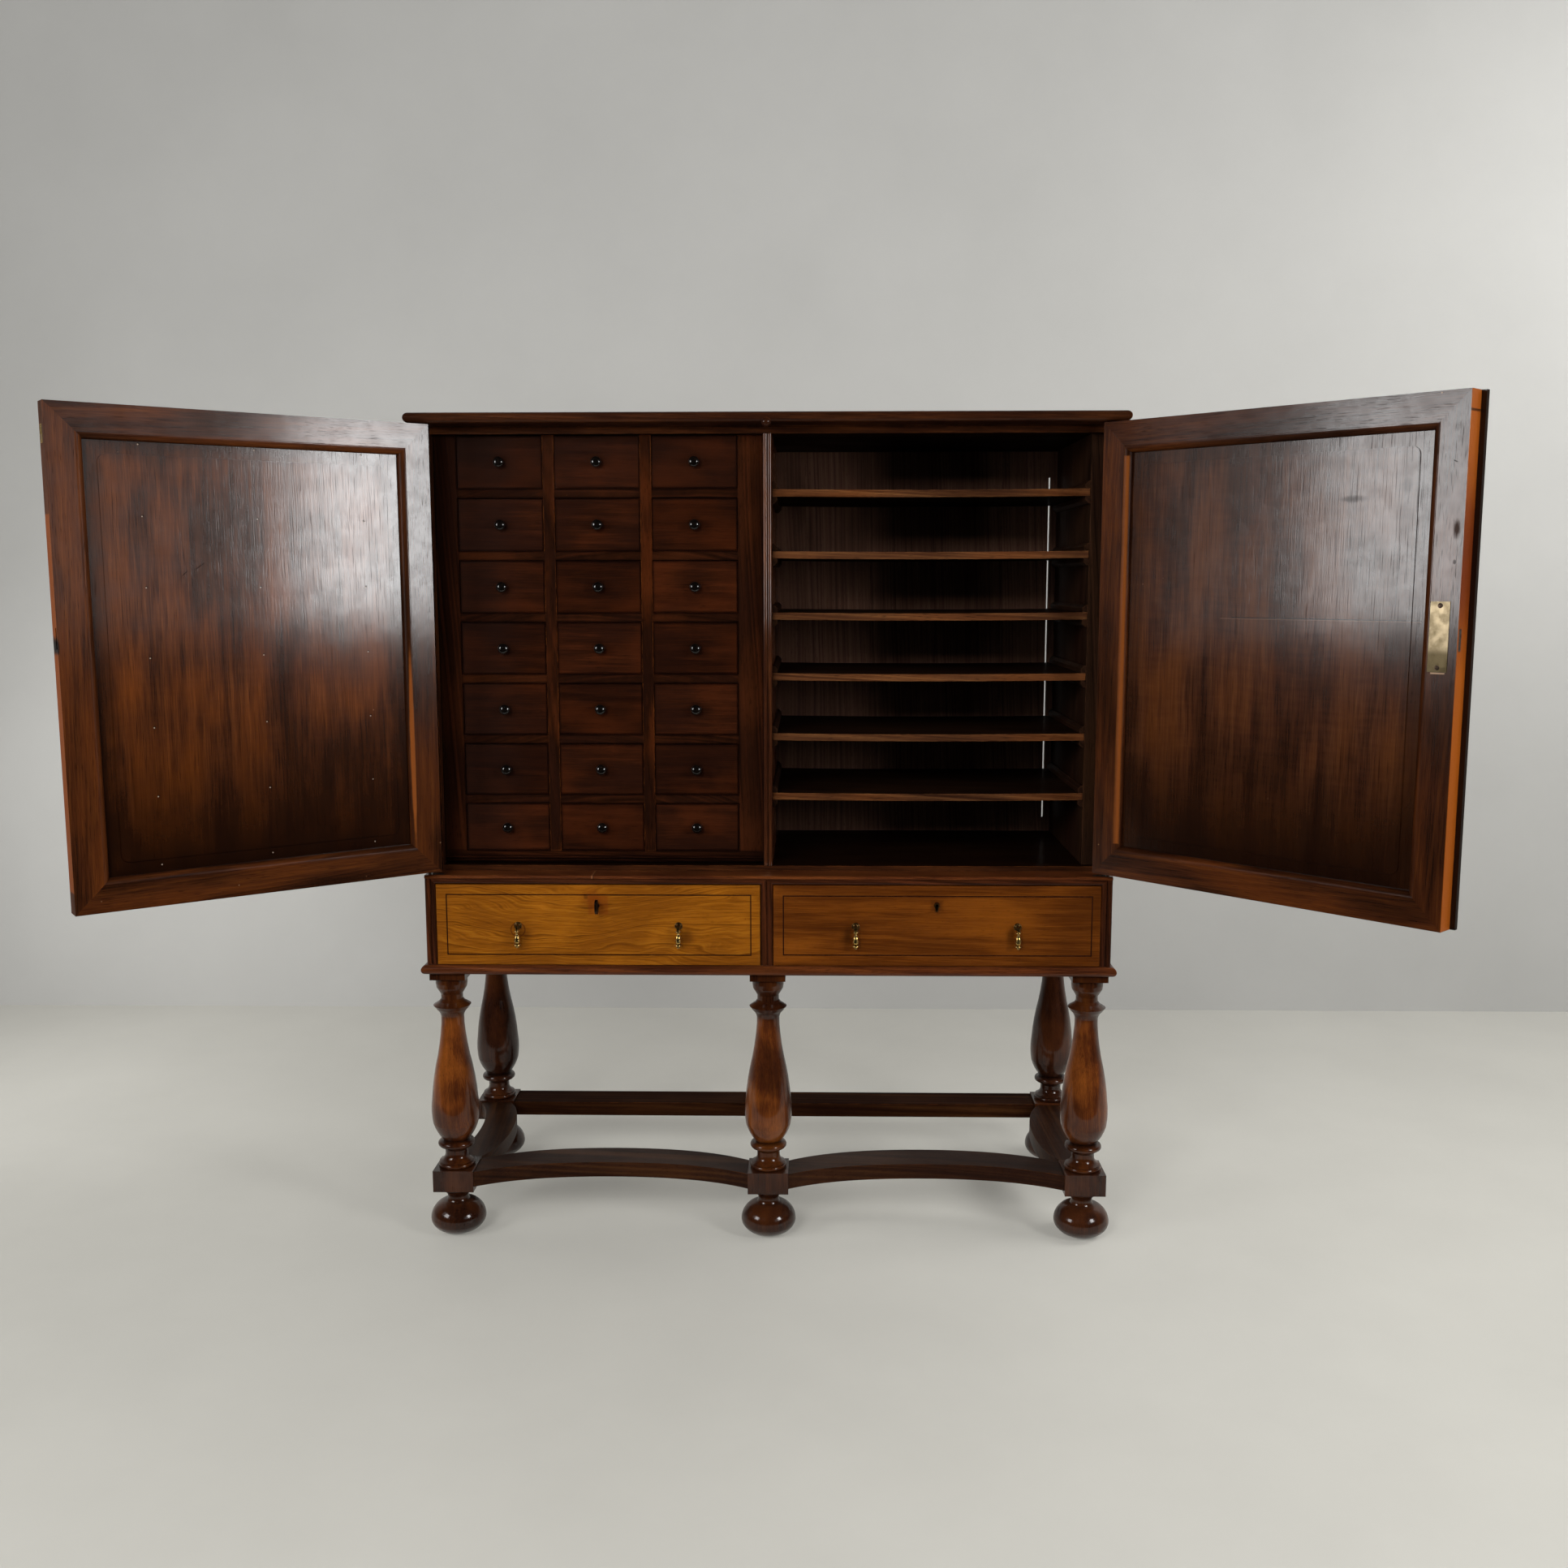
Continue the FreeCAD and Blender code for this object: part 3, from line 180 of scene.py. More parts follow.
def wood(name, look, grain="z", door=None, marks=()):
    look = {**woodHabit, **look}
    material, add = newMaterial(name)
    place = millimetres(add, door)
    board = alongGrain(add, place, grain)
    own = add("Attribute", {"attribute_name": "board"}).outputs["Fac"]
    shift = add("VectorMath", {"operation": "SCALE"}, {
        0: [far * look["spread"] for far in look["shift"]], "Scale": own})
    board = add("VectorMath", {"operation": "ADD"}, {0: board, 1: shift})

    # growth rings: distance from the tree's axis, which leans and wanders
    slow = add("VectorMath", multiply, {0: board, 1: (1, 1, 0.3)})
    drift = add("TexNoise", None, {
        "Vector": slow, "Scale": 1 / look["wanderSize"], "Detail": 3.0, "Roughness": 0.55}).outputs["Color"]
    drift = add("VectorMath", multiplyAdd, {
        0: drift, 1: (look["wander"],) * 3, 2: board})
    tree = add("Mapping", None, {
        "Vector": drift, "Location": (*look["heart"], 0),
        "Rotation": [math.radians(lean) for lean in (*look["lean"], 0)]})
    tree = add("VectorMath", multiply, {0: tree, 1: (1, 1, 0)})
    away = add("VectorMath", {"operation": "LENGTH"}, {0: tree}).outputs["Value"]
    rings = add("TexNoise", {"noise_dimensions": "1D"}, {
        "W": away, "Scale": 1 / look["ringWidth"], "Detail": 3.0, "Roughness": 0.6})

    streaks = stretched(add, board, look["streakWidth"], look["streakWidth"] * look["streakLength"], 4.0, 0.6)
    fibres = stretched(add, board, look["fibreWidth"], look["fibreWidth"] * look["fibreLength"], 3.0, 0.6)
    pores = stretched(add, board, look["poreWidth"], look["poreLength"], 1.0, 0.5)
    pores = add("MapRange", smooth, {"Value": pores, "From Min": 0.60, "From Max": 0.72})

    figure = 0.0
    for pattern, share in ((rings, "ringShare"), (streaks, "streakShare"), (fibres, "fibreShare")):
        figure = add("Math", multiplyAdd, {0: pattern, 1: look[share], 2: figure})
    if look["curlShare"]:
        curl = stretched(add, drift, *look["curl"], 1.0, 0.5)
        curl = add("Math", {"operation": "SUBTRACT"}, {0: curl, 1: 0.5})
        figure = add("Math", multiplyAdd, {0: curl, 1: look["curlShare"], 2: figure})
    colour = add("ValToRGB", {"stops": [
        (0.34, look["deep"]), (0.48, look["middle"]), (0.64, look["pale"])]}, {0: figure})

    # old polish: dark clouds, amber patches, darker pores, each board a little lighter or darker
    clouds = stretched(add, board, look["cloudSize"], look["cloudSize"] * look["cloudLength"], 2.5, 0.5)
    cloudy = add("MapRange", smooth, {
        "Value": clouds, "From Min": 0.44, "From Max": 0.68, "To Max": look["cloudShare"]})
    warm = add("MapRange", smooth, {
        "Value": clouds, "From Min": 0.54, "From Max": 0.28, "To Max": look["amberShare"]})
    inPores = add("Math", multiply, {0: pores, 1: look["poreDepth"]})
    for share, over in ((cloudy, "cloud"), (warm, "amber"), (inPores, "deep")):
        colour = add("Mix", {"data_type": "RGBA"}, {0: share, 6: colour, 7: look[over]}).outputs[2]
    tone = look["tone"] * look["spread"]
    lift = add("MapRange", None, {"Value": own, "To Min": 1 - tone, "To Max": 1 + tone})
    colour = add("HueSaturation", None, {"Color": colour, "Value": lift})

    # edges rubbed through to paler wood; where a look makes this edge colour black, it is painted shadow of
    # the gaps round the piece
    geometry = add("NewGeometry").outputs["Normal"]
    rounded = add("Bevel", {"samples": 4}, {"Radius": look["wearAndGapShadowWidth"]})
    edge = add("VectorMath", {"operation": "DOT_PRODUCT"}, {0: geometry, 1: rounded}).outputs["Value"]
    edge = add("MapRange", None, {"Value": edge, "From Min": 0.985, "From Max": 0.86})
    patchy = add("TexNoise", None, {
        "Vector": place, "Scale": 1 / look["patchSize"], "Detail": 6.0, "Roughness": 0.7})
    rubbed = add("MapRange", smooth, {
        "Value": patchy, "From Min": look["wearAndGapShadowPatch"][0], "From Max": look["wearAndGapShadowPatch"][1],
        "To Max": look["wearAndGapShadowShare"]})
    layers = [(add("Math", multiply, {0: edge, 1: rubbed}), "wearAndGapShadow")]

    # painted shade in the corners, with the dirt that gathers there: darker where ambient occlusion finds the
    # surface closed in
    if look["grimeAndCornerShadeShare"]:
        openness = add("AmbientOcclusion", {"samples": 4, "only_local": True}, {
            "Distance": look["grimeAndCornerShadeReach"]}).outputs["AO"]
        corner = add("MapRange", smooth, {
            "Value": openness, "From Min": 0.95, "From Max": 0.45, "To Max": look["grimeAndCornerShadeShare"]})
        layers.append((corner, "grimeAndCornerShade"))

    # small knocks, in a few of the cells only
    if look["nickShare"]:
        cells = add("TexVoronoi", None, {"Vector": place, "Scale": 1 / look["nickSpacing"]}).outputs
        nick = add("MapRange", smooth, {"Value": cells["Distance"], "From Min": 0.045, "From Max": 0.02})
        few = add("SeparateXYZ", None, {0: cells["Color"]})
        few = add("MapRange", None, {
            "Value": few, "From Min": 0.7, "From Max": 0.9, "To Max": look["nickShare"]})
        layers.append((add("Math", multiply, {0: nick, 1: few}), "nick"))
    for share, over in layers:
        colour = add("Mix", {"data_type": "RGBA"}, {0: share, 6: colour, 7: look[over]}).outputs[2]

    # the polish sinks into open pores, and has worn thin in patches
    gloss = add("MapRange", smooth, {
        "Value": patchy, "From Min": 0.35, "From Max": 0.65,
        "To Min": look["coat"], "To Max": look["coat"] * (1 - look["dullShare"])})
    gloss = add("Math", multiplyAdd, {0: pores, 1: -0.45 * look["coat"], 2: gloss})
    for mark in marks:
        colour, inside = paintMark(add, place, patchy, colour, mark)
        if "matt" in mark:
            kept = add("Math", multiplyAdd, {0: inside, 1: -mark["matt"], 2: 1.0})
            gloss = add("Math", multiply, {0: gloss, 1: kept})

    rough = add("MapRange", None, {
        "Value": clouds, "From Min": 0.3, "From Max": 0.7,
        "To Min": look["roughness"][0], "To Max": look["roughness"][1]})
    ripple = add("TexNoise", None, {
        "Vector": place, "Scale": 1 / look["rippleSize"], "Detail": 2.0, "Roughness": 0.5})
    # the wood under the polish, then its skin, which fills most of the grain
    reliefs = []
    for pit, swell, strength, normal in ((-0.8, 2.5, "bump", {"Normal": rounded}), (-0.25, 0.9, "skin", {})):
        height = add("Math", multiplyAdd, {0: pores, 1: pit, 2: fibres})
        height = add("Math", multiplyAdd, {0: ripple, 1: swell, 2: height})
        reliefs.append(add("Bump", None, {
            "Strength": look[strength], "Distance": look["relief"], "Height": height, **normal}))
    shader = add("BsdfPrincipled", None, {
        "Base Color": colour, "Roughness": rough, "IOR": 1.5, "Specular IOR Level": look["sheen"],
        "Specular Tint": look["tint"], "Normal": reliefs[0], "Coat Normal": reliefs[1],
        "Coat Weight": gloss, "Coat Roughness": look["coatRoughness"], "Coat IOR": 1.52})
    add("OutputMaterial", None, {"Surface": shader})
    return material


def paintMark(add, place, uneven, colour, mark):
    # a box or an ellipse on the face, or a ring; full and none are where its edge starts and ends
    if "box" in mark:
        low, high = mark["box"][::2], mark["box"][1::2]
        away = add("VectorMath", {"operation": "SUBTRACT"}, {
            0: place, 1: [(a + b) / 2 for a, b in zip(low, high)]})
        away = add("VectorMath", {"operation": "ABSOLUTE"}, {0: away})
        away = add("VectorMath", {"operation": "SUBTRACT"}, {
            0: away, 1: [(b - a) / 2 for a, b in zip(low, high)]})
        split = add("SeparateXYZ", None, {0: away})
        away = add("Math", {"operation": "MAXIMUM"}, {0: split.outputs[0], 1: split.outputs[1]})
        away = add("Math", {"operation": "MAXIMUM"}, {0: away, 1: split.outputs[2]})
    else:
        away = add("VectorMath", {"operation": "SUBTRACT"}, {
            0: place, 1: (mark["at"][0], 0, mark["at"][1])})
        if "pitch" in mark:
            # the same spot again at every pitch, over the whole face
            away = add("VectorMath", {"operation": "WRAP"}, {
                0: away, 1: (mark["pitch"][0] / 2, 0, mark["pitch"][1] / 2),
                2: (-mark["pitch"][0] / 2, 0, -mark["pitch"][1] / 2)})
        if "lean" in mark:
            away = add("Mapping", None, {"Vector": away, "Rotation": (0, math.radians(mark["lean"]), 0)})
        away = add("VectorMath", multiply, {
            0: away, 1: (1 / mark["size"][0], 0, 1 / mark["size"][1])})
        away = add("VectorMath", {"operation": "LENGTH"}, {0: away}).outputs["Value"]
    if "ring" in mark:
        away = add("Math", {"operation": "SUBTRACT"}, {0: away, 1: 1.0})
        away = add("Math", {"operation": "ABSOLUTE"}, {0: away})
        away = add("Math", {"operation": "DIVIDE"}, {0: away, 1: mark["ring"]})
    if "uneven" in mark:
        away = add("Math", multiplyAdd, {0: uneven, 1: mark["uneven"], 2: away})
    inside = add("MapRange", smooth, {
        "Value": away, "From Min": mark.get("none", 1.0), "From Max": mark.get("full", 0.5),
        "To Max": mark.get("share", 1.0)})
    colour = add("Mix", {"data_type": "RGBA"}, {0: inside, 6: colour, 7: mark["colour"]}).outputs[2]
    return colour, inside


# French-polished walnut of the front legs: reddish brown, glossy over the turning, dark in the hollows,
# partly painted shade
turnedWalnut = {
    "deep": "#2a120a", "middle": "#4c240e", "pale": "#6c3a16", "cloud": "#1c0c06", "cloudShare": 0.6,
    "ringWidth": 10.0, "heart": (14.0, 9.0), "wander": 14.0, "ringShare": 0.25, "streakShare": 0.35,
    "fibreShare": 0.4, "roughness": (0.28, 0.42), "coat": 0.75, "coatRoughness": 0.12, "wearAndGapShadow": "#6a3616",
    "wearAndGapShadowShare": 0.3, "streakWidth": 22.0, "cloudSize": 75.0, "cloudLength": 1.4, "amber": "#864a18",
    "amberShare": 0.5, "grimeAndCornerShadeReach": 0.016, "grimeAndCornerShadeShare": 0.9,
}
# Turned walnut of the feet and blocks: the same polish, blackened; on the back legs the darker colour is
# painted shade
darkAndShadedTurnedWalnut = {
    **turnedWalnut, "deep": "#170a06", "middle": "#28130a", "pale": "#3e200f", "amber": "#4a2610",
    "wearAndGapShadow": "#4e2912",
}
# Waxed walnut of the stretchers: dark, dull on top where feet rest
standWalnut = {
    "deep": "#120804", "middle": "#231108", "pale": "#37200f", "cloudShare": 0.5, "amber": "#472812",
    "roughness": (0.42, 0.6), "coat": 0.12, "coatRoughness": 0.3, "wearAndGapShadow": "#6e3d1b", "nickShare": 0.5,
}
# the back one is dusty, and its polish is gone
dullStandWalnut = {**standWalnut, "coat": 0.0, "sheen": 0.05, "roughness": (0.7, 0.85)}
# Polished walnut of the case: deep red brown with black in the corners, painted shade with dirt
caseWalnut = {
    "deep": "#200e07", "middle": "#472210", "pale": "#6c3a1b", "cloudShare": 0.5, "amber": "#7a431c",
    "roughness": (0.34, 0.5), "coat": 0.4, "coatRoughness": 0.18, "wearAndGapShadow": "#84491f", "cloudSize": 110.0,
    "ringShare": 0.3, "streakShare": 0.35, "fibreShare": 0.35, "poreDepth": 0.6,
}
# Walnut of the upper case and cornice: darker, with a rubbed edge
upperWalnut = {
    **caseWalnut, "deep": "#150904", "middle": "#29140a", "pale": "#432310", "amber": "#572e13",
    "wearAndGapShadow": "#74401c", "wearAndGapShadowShare": 0.6,
}
# inside the case the boards are painted nearly black: painted shade, and so are the front edges of its sides
shadedCaseWalnut = {
    **upperWalnut, "deep": "#090402", "middle": "#120804", "pale": "#1f1008", "coat": 0.1, "sheen": 0.06,
    "amber": "#2c170a", "roughness": (0.5, 0.65),
}
# Walnut of the partition: a glossy double bead
partitionWalnut = {
    **upperWalnut, "deep": "#1c0d06", "middle": "#3a1d0f", "pale": "#5a3319", "coat": 0.6,
    "coatRoughness": 0.08, "skin": 0.03,
}
# Walnut beads round the drawers, nearly black in the quirks
beadWalnut = {
    "deep": "#180a05", "middle": "#2d150a", "pale": "#4a2412", "wearAndGapShadow": "#7a4020", "wearAndGapShadowShare": 0.6,
    "roughness": (0.34, 0.5), "coat": 0.35, "amber": "#5c2f14",
}
# Walnut of the nest's rails: oiled, brown, with open grain, edges painted black: painted shadow of the gaps
nestWalnut = {
    "deep": "#0f0502", "middle": "#1c0c05", "pale": "#2f1509", "poreDepth": 0.7, "coat": 0.3,
    "coatRoughness": 0.2, "roughness": (0.42, 0.6), "wearAndGapShadow": "#050202", "wearAndGapShadowShare": 1.0, "ringWidth": 6.0,
    "amber": "#44200d", "amberShare": 0.35, "grimeAndCornerShadeReach": 0.006, "nickShare": 0.3, "nick": "#6e4020",
    "wearAndGapShadowPatch": (0.1, 0.3), "wearAndGapShadowWidth": 0.007,
}
# the uprights between the small drawers are rubbed paler by hands
dividerWalnut = {
    **nestWalnut, "deep": "#0e0502", "middle": "#1c0c05", "pale": "#321609", "wearAndGapShadow": "#84481d",
    "wearAndGapShadowShare": 0.9, "cloudShare": 0.8, "cloudSize": 60.0, "amber": "#6c3212", "amberShare": 0.3,
    "ringShare": 0.3, "streakShare": 0.25, "fibreShare": 0.45, "cloudLength": 3.0, "wearAndGapShadowWidth": 0.002,
    "wearAndGapShadowPatch": (0.42, 0.62), "poreDepth": 0.8,
}
# Stained oak boards at the back: matt, dark inside; their colour is painted lighter than the oak: painted
# light where little light reaches the deep bay
backOakLightened = {
    "deep": "#49322a", "middle": "#644739", "pale": "#765747", "ringWidth": 5.0, "poreDepth": 0.7,
    "coat": 0.05, "coatRoughness": 0.3, "roughness": (0.55, 0.75), "wearAndGapShadow": "#1a0f0a", "wearAndGapShadowShare": 0.8,
    "cloudShare": 0.4, "amberShare": 0.0, "grimeAndCornerShadeShare": 0.5,
}
# the runners in the bay: oak painted dark, painted shade of the deep bay
bayShadedOak = {
    "deep": "#0f0805", "middle": "#1c110b", "pale": "#2b1a11", "ringWidth": 5.0, "poreDepth": 0.6,
    "coat": 0.05, "roughness": (0.5, 0.7), "wearAndGapShadow": "#5b3c28", "amber": "#38210f",
}
# drawer sides and bottoms: the same oak, unstained and browned with age
plainOak = {
    **bayShadedOak, "deep": "#3f2a1a", "middle": "#5e4229", "pale": "#7b5a3a", "wearAndGapShadow": "#8a6a46",
    "amber": "#8a6438", "cloud": "#3a2717",
}
# Shelves of stained oak with a rubbed front edge
shelfOak = {
    "deep": "#28160c", "middle": "#462918", "pale": "#654226", "ringWidth": 6.0, "poreDepth": 0.7,
    "coat": 0.15, "coatRoughness": 0.25, "roughness": (0.42, 0.6), "wearAndGapShadow": "#93603a", "wearAndGapShadowShare": 0.6,
}
# their faces are painted nearly black and dull: painted shade of the deep bay
shelfShadedOak = {
    **shelfOak, "deep": "#0e0704", "middle": "#1a0f09", "pale": "#2a1a10", "coat": 0.04, "sheen": 0.06,
    "amber": "#38210f", "roughness": (0.6, 0.75),
}
# Small drawers: dark mahogany-brown walnut under old shellac, edges painted black: painted shadow of the gaps
# round them
drawerWalnut = {
    "deep": "#140704", "middle": "#210e06", "pale": "#34170a", "ringWidth": 14.0, "cloudSize": 90.0,
    "cloudShare": 0.6, "ringShare": 0.25, "streakShare": 0.3, "fibreShare": 0.45, "amber": "#4a200b",
    "amberShare": 0.35, "coat": 0.35, "coatRoughness": 0.18, "wearAndGapShadow": "#050202", "wearAndGapShadowShare": 1.0,
    "skin": 0.14, "wearAndGapShadowPatch": (0.1, 0.3), "wearAndGapShadowWidth": 0.008, "spread": 1.6, "nickShare": 0.35,
    "nick": "#6e4426",
}
# Left long drawer: golden faded walnut veneer with a flowing figure
goldenWalnut = {
    "deep": "#4a2605", "middle": "#744109", "pale": "#8c5612", "cloud": "#5f3208", "cloudShare": 0.45,
    "ringWidth": 4.0, "heart": (30.0, 14.0), "lean": (1.0, 2.0), "wander": 170.0, "wanderSize": 140.0,
    "ringShare": 0.52, "streakShare": 0.12, "fibreShare": 0.36, "fibreWidth": 1.3, "amber": "#9a5c12",
    "cloudSize": 70.0, "amberShare": 0.35, "poreDepth": 0.35, "wearAndGapShadow": "#6a3a10", "wearAndGapShadowShare": 0.6,
    "coat": 0.4, "coatRoughness": 0.22, "spread": 0.1, "grimeAndCornerShadeShare": 0.4, "tint": "#c08030",
    "nickShare": 0.5, "nick": "#3c1d08",
}
# Right long drawer: straighter, redder walnut with long streaks
russetWalnut = {
    "deep": "#3a1904", "middle": "#512707", "pale": "#6a390f", "cloud": "#3a1a05", "cloudShare": 0.45,
    "ringWidth": 8.0, "heart": (120.0, 60.0), "lean": (1.5, 2.5), "wander": 60.0, "amber": "#80460f",
    "ringShare": 0.3, "streakShare": 0.3, "fibreShare": 0.4, "streakWidth": 9.0, "cloudSize": 60.0,
    "cloudLength": 4.0, "amberShare": 0.5, "wearAndGapShadow": "#5a2f0e", "wearAndGapShadowShare": 0.6, "coat": 0.4,
    "coatRoughness": 0.22, "spread": 0.1,
    "grimeAndCornerShadeShare": 0.4, "tint": "#a06828", "nickShare": 0.5, "nick": "#2a1206",
}
# Door frames: polished walnut, warm brown, clouded nearly black in places
doorWalnut = {
    "deep": "#190a04", "middle": "#321709", "pale": "#4d280f", "cloud": "#140803", "cloudShare": 0.65,
    "amber": "#63310f", "amberShare": 0.3, "cloudSize": 55.0, "cloudLength": 5.0,
    "ringWidth": 5.0, "ringShare": 0.25, "streakShare": 0.35, "fibreShare": 0.4, "nickShare": 0.5,
    "poreDepth": 0.6, "poreLength": 24.0, "coat": 0.75, "coatRoughness": 0.15, "roughness": (0.3, 0.42),
    "wearAndGapShadow": "#54290f", "wearAndGapShadowShare": 0.5,
}
# Their mouldings and edges: the same wood, where the polish is thin and dusty
mouldingWalnut = {**doorWalnut, "coat": 0.15, "coatRoughness": 0.35, "roughness": (0.45, 0.6)}
# Door panels: single wide polished boards, fine straight grain under clouded polish
panelWalnut = {
    "deep": "#1b0b05", "middle": "#371a0b", "pale": "#572e14", "cloud": "#120702", "cloudShare": 0.56,
    "amber": "#66330d", "amberShare": 0.45, "cloudSize": 70.0, "cloudLength": 3.0, "ringWidth": 9.0,
    "heart": (200.0, 160.0), "lean": (0.6, 1.0), "wander": 40.0, "ringShare": 0.2, "streakShare": 0.35,
    "fibreShare": 0.45, "streakWidth": 12.0, "poreLength": 60.0, "poreDepth": 0.6, "curlShare": 0.05,
    "coat": 0.85, "coatRoughness": 0.13, "roughness": (0.34, 0.46), "wearAndGapShadow": "#6c3a1c", "wearAndGapShadowShare": 0.0,
    "wearAndGapShadowWidth": 0.003, "spread": 0.1, "nickShare": 0.3, "grimeAndCornerShadeShare": 0.0,
}
panelWalnutRight = {
    **panelWalnut, "deep": "#1f0d06", "middle": "#381c0e", "pale": "#502e18", "amber": "#572f11",
    "heart": (320.0, 90.0), "lean": (1.4, 1.8), "curlShare": 0.12, "cloudShare": 0.5,
}

# Marks on the doors, in each door's own millimetres: x from its pivot, y through it, z up
lowerDark = {"full": -120, "none": 140, "uneven": 60, "colour": "#120602", "share": 0.9}
# darker along each panel's border, next to the frame
panelBorderDark = {"colour": "#0f0603", "full": -8, "none": -58, "share": 0.8, "uneven": -24}
nailHeads = {"at": (117.7, 930.6), "pitch": (189.5, 117.5)}
scratch = {"colour": "#140906", "matt": 1.0}
stain = {"none": 1.5, "uneven": 1.4, "full": 0.8, "colour": "#1c120d"}
panelMarks = {
    "left": [
        {**panelBorderDark, "box": (49.5, 583.8, -400, 400, 799.5, 1521.5)},
        {**lowerDark, "box": (0, 650, -400, 400, 600, 960)},
        # nails driven from the outside have left pale pimples in the polish
        {**nailHeads, "size": (2.8, 2.8), "colour": "#0c0604", "share": 0.7, "matt": 0.9},
        {**nailHeads, "at": (118.4, 929.6), "size": (1.5, 1.5), "colour": "#b8a696", "share": 0.6},
        {**scratch, "at": (409.0, 1318.0), "size": (0.9, 14.0), "lean": 55},
        {**scratch, "at": (434.0, 1306.0), "size": (0.8, 9.0), "lean": 48},
    ],
    "right": [
        {**panelBorderDark, "box": (-592.8, -49.5, -400, 400, 799.5, 1521.5), "share": 0.55},
        {**lowerDark, "box": (-660, 0, -400, 400, 600, 960)},
        # stains where the polish has gone
        {**stain, "at": (-470.0, 1422.0), "size": (42.0, 9.0), "share": 0.7, "matt": 0.7},
        {**stain, "at": (-560.0, 1440.0), "size": (14.0, 22.0), "share": 0.5, "matt": 0.5},
        {**stain, "at": (-520.0, 1330.0), "size": (10.0, 16.0), "share": 0.4, "matt": 0.5},
        # a crack and its pale lip
        {"box": (-594, -262, 10, 32, 1228.2, 1229.4), "full": 0, "none": 0.9,
         "colour": "#0d0604", "share": 0.8},
        {"box": (-594, -240, 10, 32, 1226.6, 1227.6), "full": 0, "none": 0.7,
         "colour": "#7a5c49", "share": 0.25},
    ],
}
frameMarks = {
    "left": [
        # the moulding at the hinges is painted pale: painted light, where light from the left falls on it
        {"at": (42.75, 985.0), "size": (5.5, 250.0), "full": 0.7, "none": 1.0, "uneven": 0.3,
         "colour": "#7c431a", "share": 0.8},
        # the meeting edge has lost its stain
        {"box": (640.1, 641.5, -6, 36.4, 780, 1400), "full": -0.2, "none": 0.4, "uneven": 0.3,
         "colour": "#74390f", "share": 0.8},
        {"at": (641.5, 1188.0), "size": (3.6, 18.0), "full": 0.9, "none": 1.5, "uneven": 0.9,
         "colour": "#0c0503"},
    ],
    "right": [
        # its hinge moulding is painted pale too: painted light
        {"box": (-47.5, -38.0, 24, 37.5, 805, 1516), "full": -1, "none": 2, "uneven": 1.5,
         "colour": "#7c431a", "share": 0.8},
        # the meeting edge too, but for a darker stretch; the lip over the joint is nearly black
        {"box": (-659.0, -657.2, 4.2, 37.2, 742, 1580), "full": -0.2, "none": 0.5, "uneven": 0.3,
         "colour": "#86440f", "share": 0.8},
        {"at": (-658.2, 1320.0), "size": (2.2, 190.0), "full": 0.45, "none": 1.3, "uneven": 0.5,
         "colour": "#4a1a07", "share": 0.85},
        {"box": (-659.0, -657.2, 12, 20, 1130, 1175), "full": -1, "none": 1, "uneven": 6,
         "colour": "#120704", "share": 0.9},
        {"box": (-659.0, -657.2, 4.2, 37.2, 1546, 1549), "full": 0, "none": 1,
         "colour": "#120704", "share": 0.8},
        {"box": (-667, -658.0, -6, 4.1, 742, 1580), "full": 0, "none": 0.3,
         "colour": "#100906", "share": 0.95},
        # stains and a scratch above the lock
        {"at": (-647.0, 1371.0), "size": (8.0, 20.0), "none": 1.5, "uneven": 1.1, "full": 0.9,
         "colour": "#2a1c15", "share": 0.95, "matt": 0.97},
        {"at": (-646.0, 1320.0), "size": (3.5, 5.0), "none": 1.5, "uneven": 1.1, "full": 0.9,
         "colour": "#1a100b", "share": 0.8, "matt": 0.8},
        {"at": (-639.0, 1472.0), "size": (5.0, 1.2), "lean": 25,
         "colour": "#120a07", "share": 0.8, "matt": 0.9},
        {"at": (-638.0, 1400.0), "size": (14.0, 28.0), "none": 1.6, "uneven": 1.6, "full": 0.6,
         "colour": "#2a1a12", "share": 0.4, "matt": 0.45},
        # raw wood just under the lock
        {"box": (-641, -618, 30, 39, 1147.5, 1150.6), "full": -0.6, "none": 0.8, "uneven": 1.2,
         "colour": "#b09072", "share": 0.8},
    ],
}

# Brass of the rosettes and posts: cast and filed, browned where nobody rubs it
brassLook = {"bright": "#86663a", "dull": "#2a1c10", "share": 0.8, "spot": 5.0, "roughness": (0.25, 0.5)}
# the drops are rubbed bright by hands
dropBrassLook = {"bright": "#d0ae68", "dull": "#5b4223", "share": 0.6, "spot": 6.0, "roughness": (0.16, 0.36)}
# Sheet brass of the door lock: worn grey and even
lockBrassLook = {
    "bright": "#8c7e65", "dull": "#695c44", "share": 0.6, "spot": 14.0, "roughness": (0.28, 0.42)}
# Sheet brass of the flush bolt's plate: cleaner and yellower
plateBrassLook = {"bright": "#d9bb6c", "dull": "#8a6c35", "share": 0.5, "spot": 6.0, "roughness": (0.35, 0.5)}
# Steel of bolts, pivots and lock cases: filed, grey under brown rust
steelLook = {"bright": "#77716b", "dull": "#2c2522", "share": 0.7, "spot": 5.0, "roughness": (0.3, 0.55)}
# Forged iron of the key and the lock's screws: nearly black
keyLook = {"bright": "#473a31", "dull": "#120d0a", "share": 0.9, "spot": 4.0, "roughness": (0.3, 0.5)}
# the lower third of the lock is tarnished dark
lockMarks = [
    {"box": (-680, -580, 0, 80, 1100, 1188), "full": -7, "none": 7, "uneven": 8,
     "colour": "#3b321f", "share": 0.85},
    {"at": (-622, 1212.0), "size": (7.0, 9.0), "full": 0.2, "none": 1.3, "uneven": 1.0,
     "colour": "#4c4128", "share": 0.7},
]


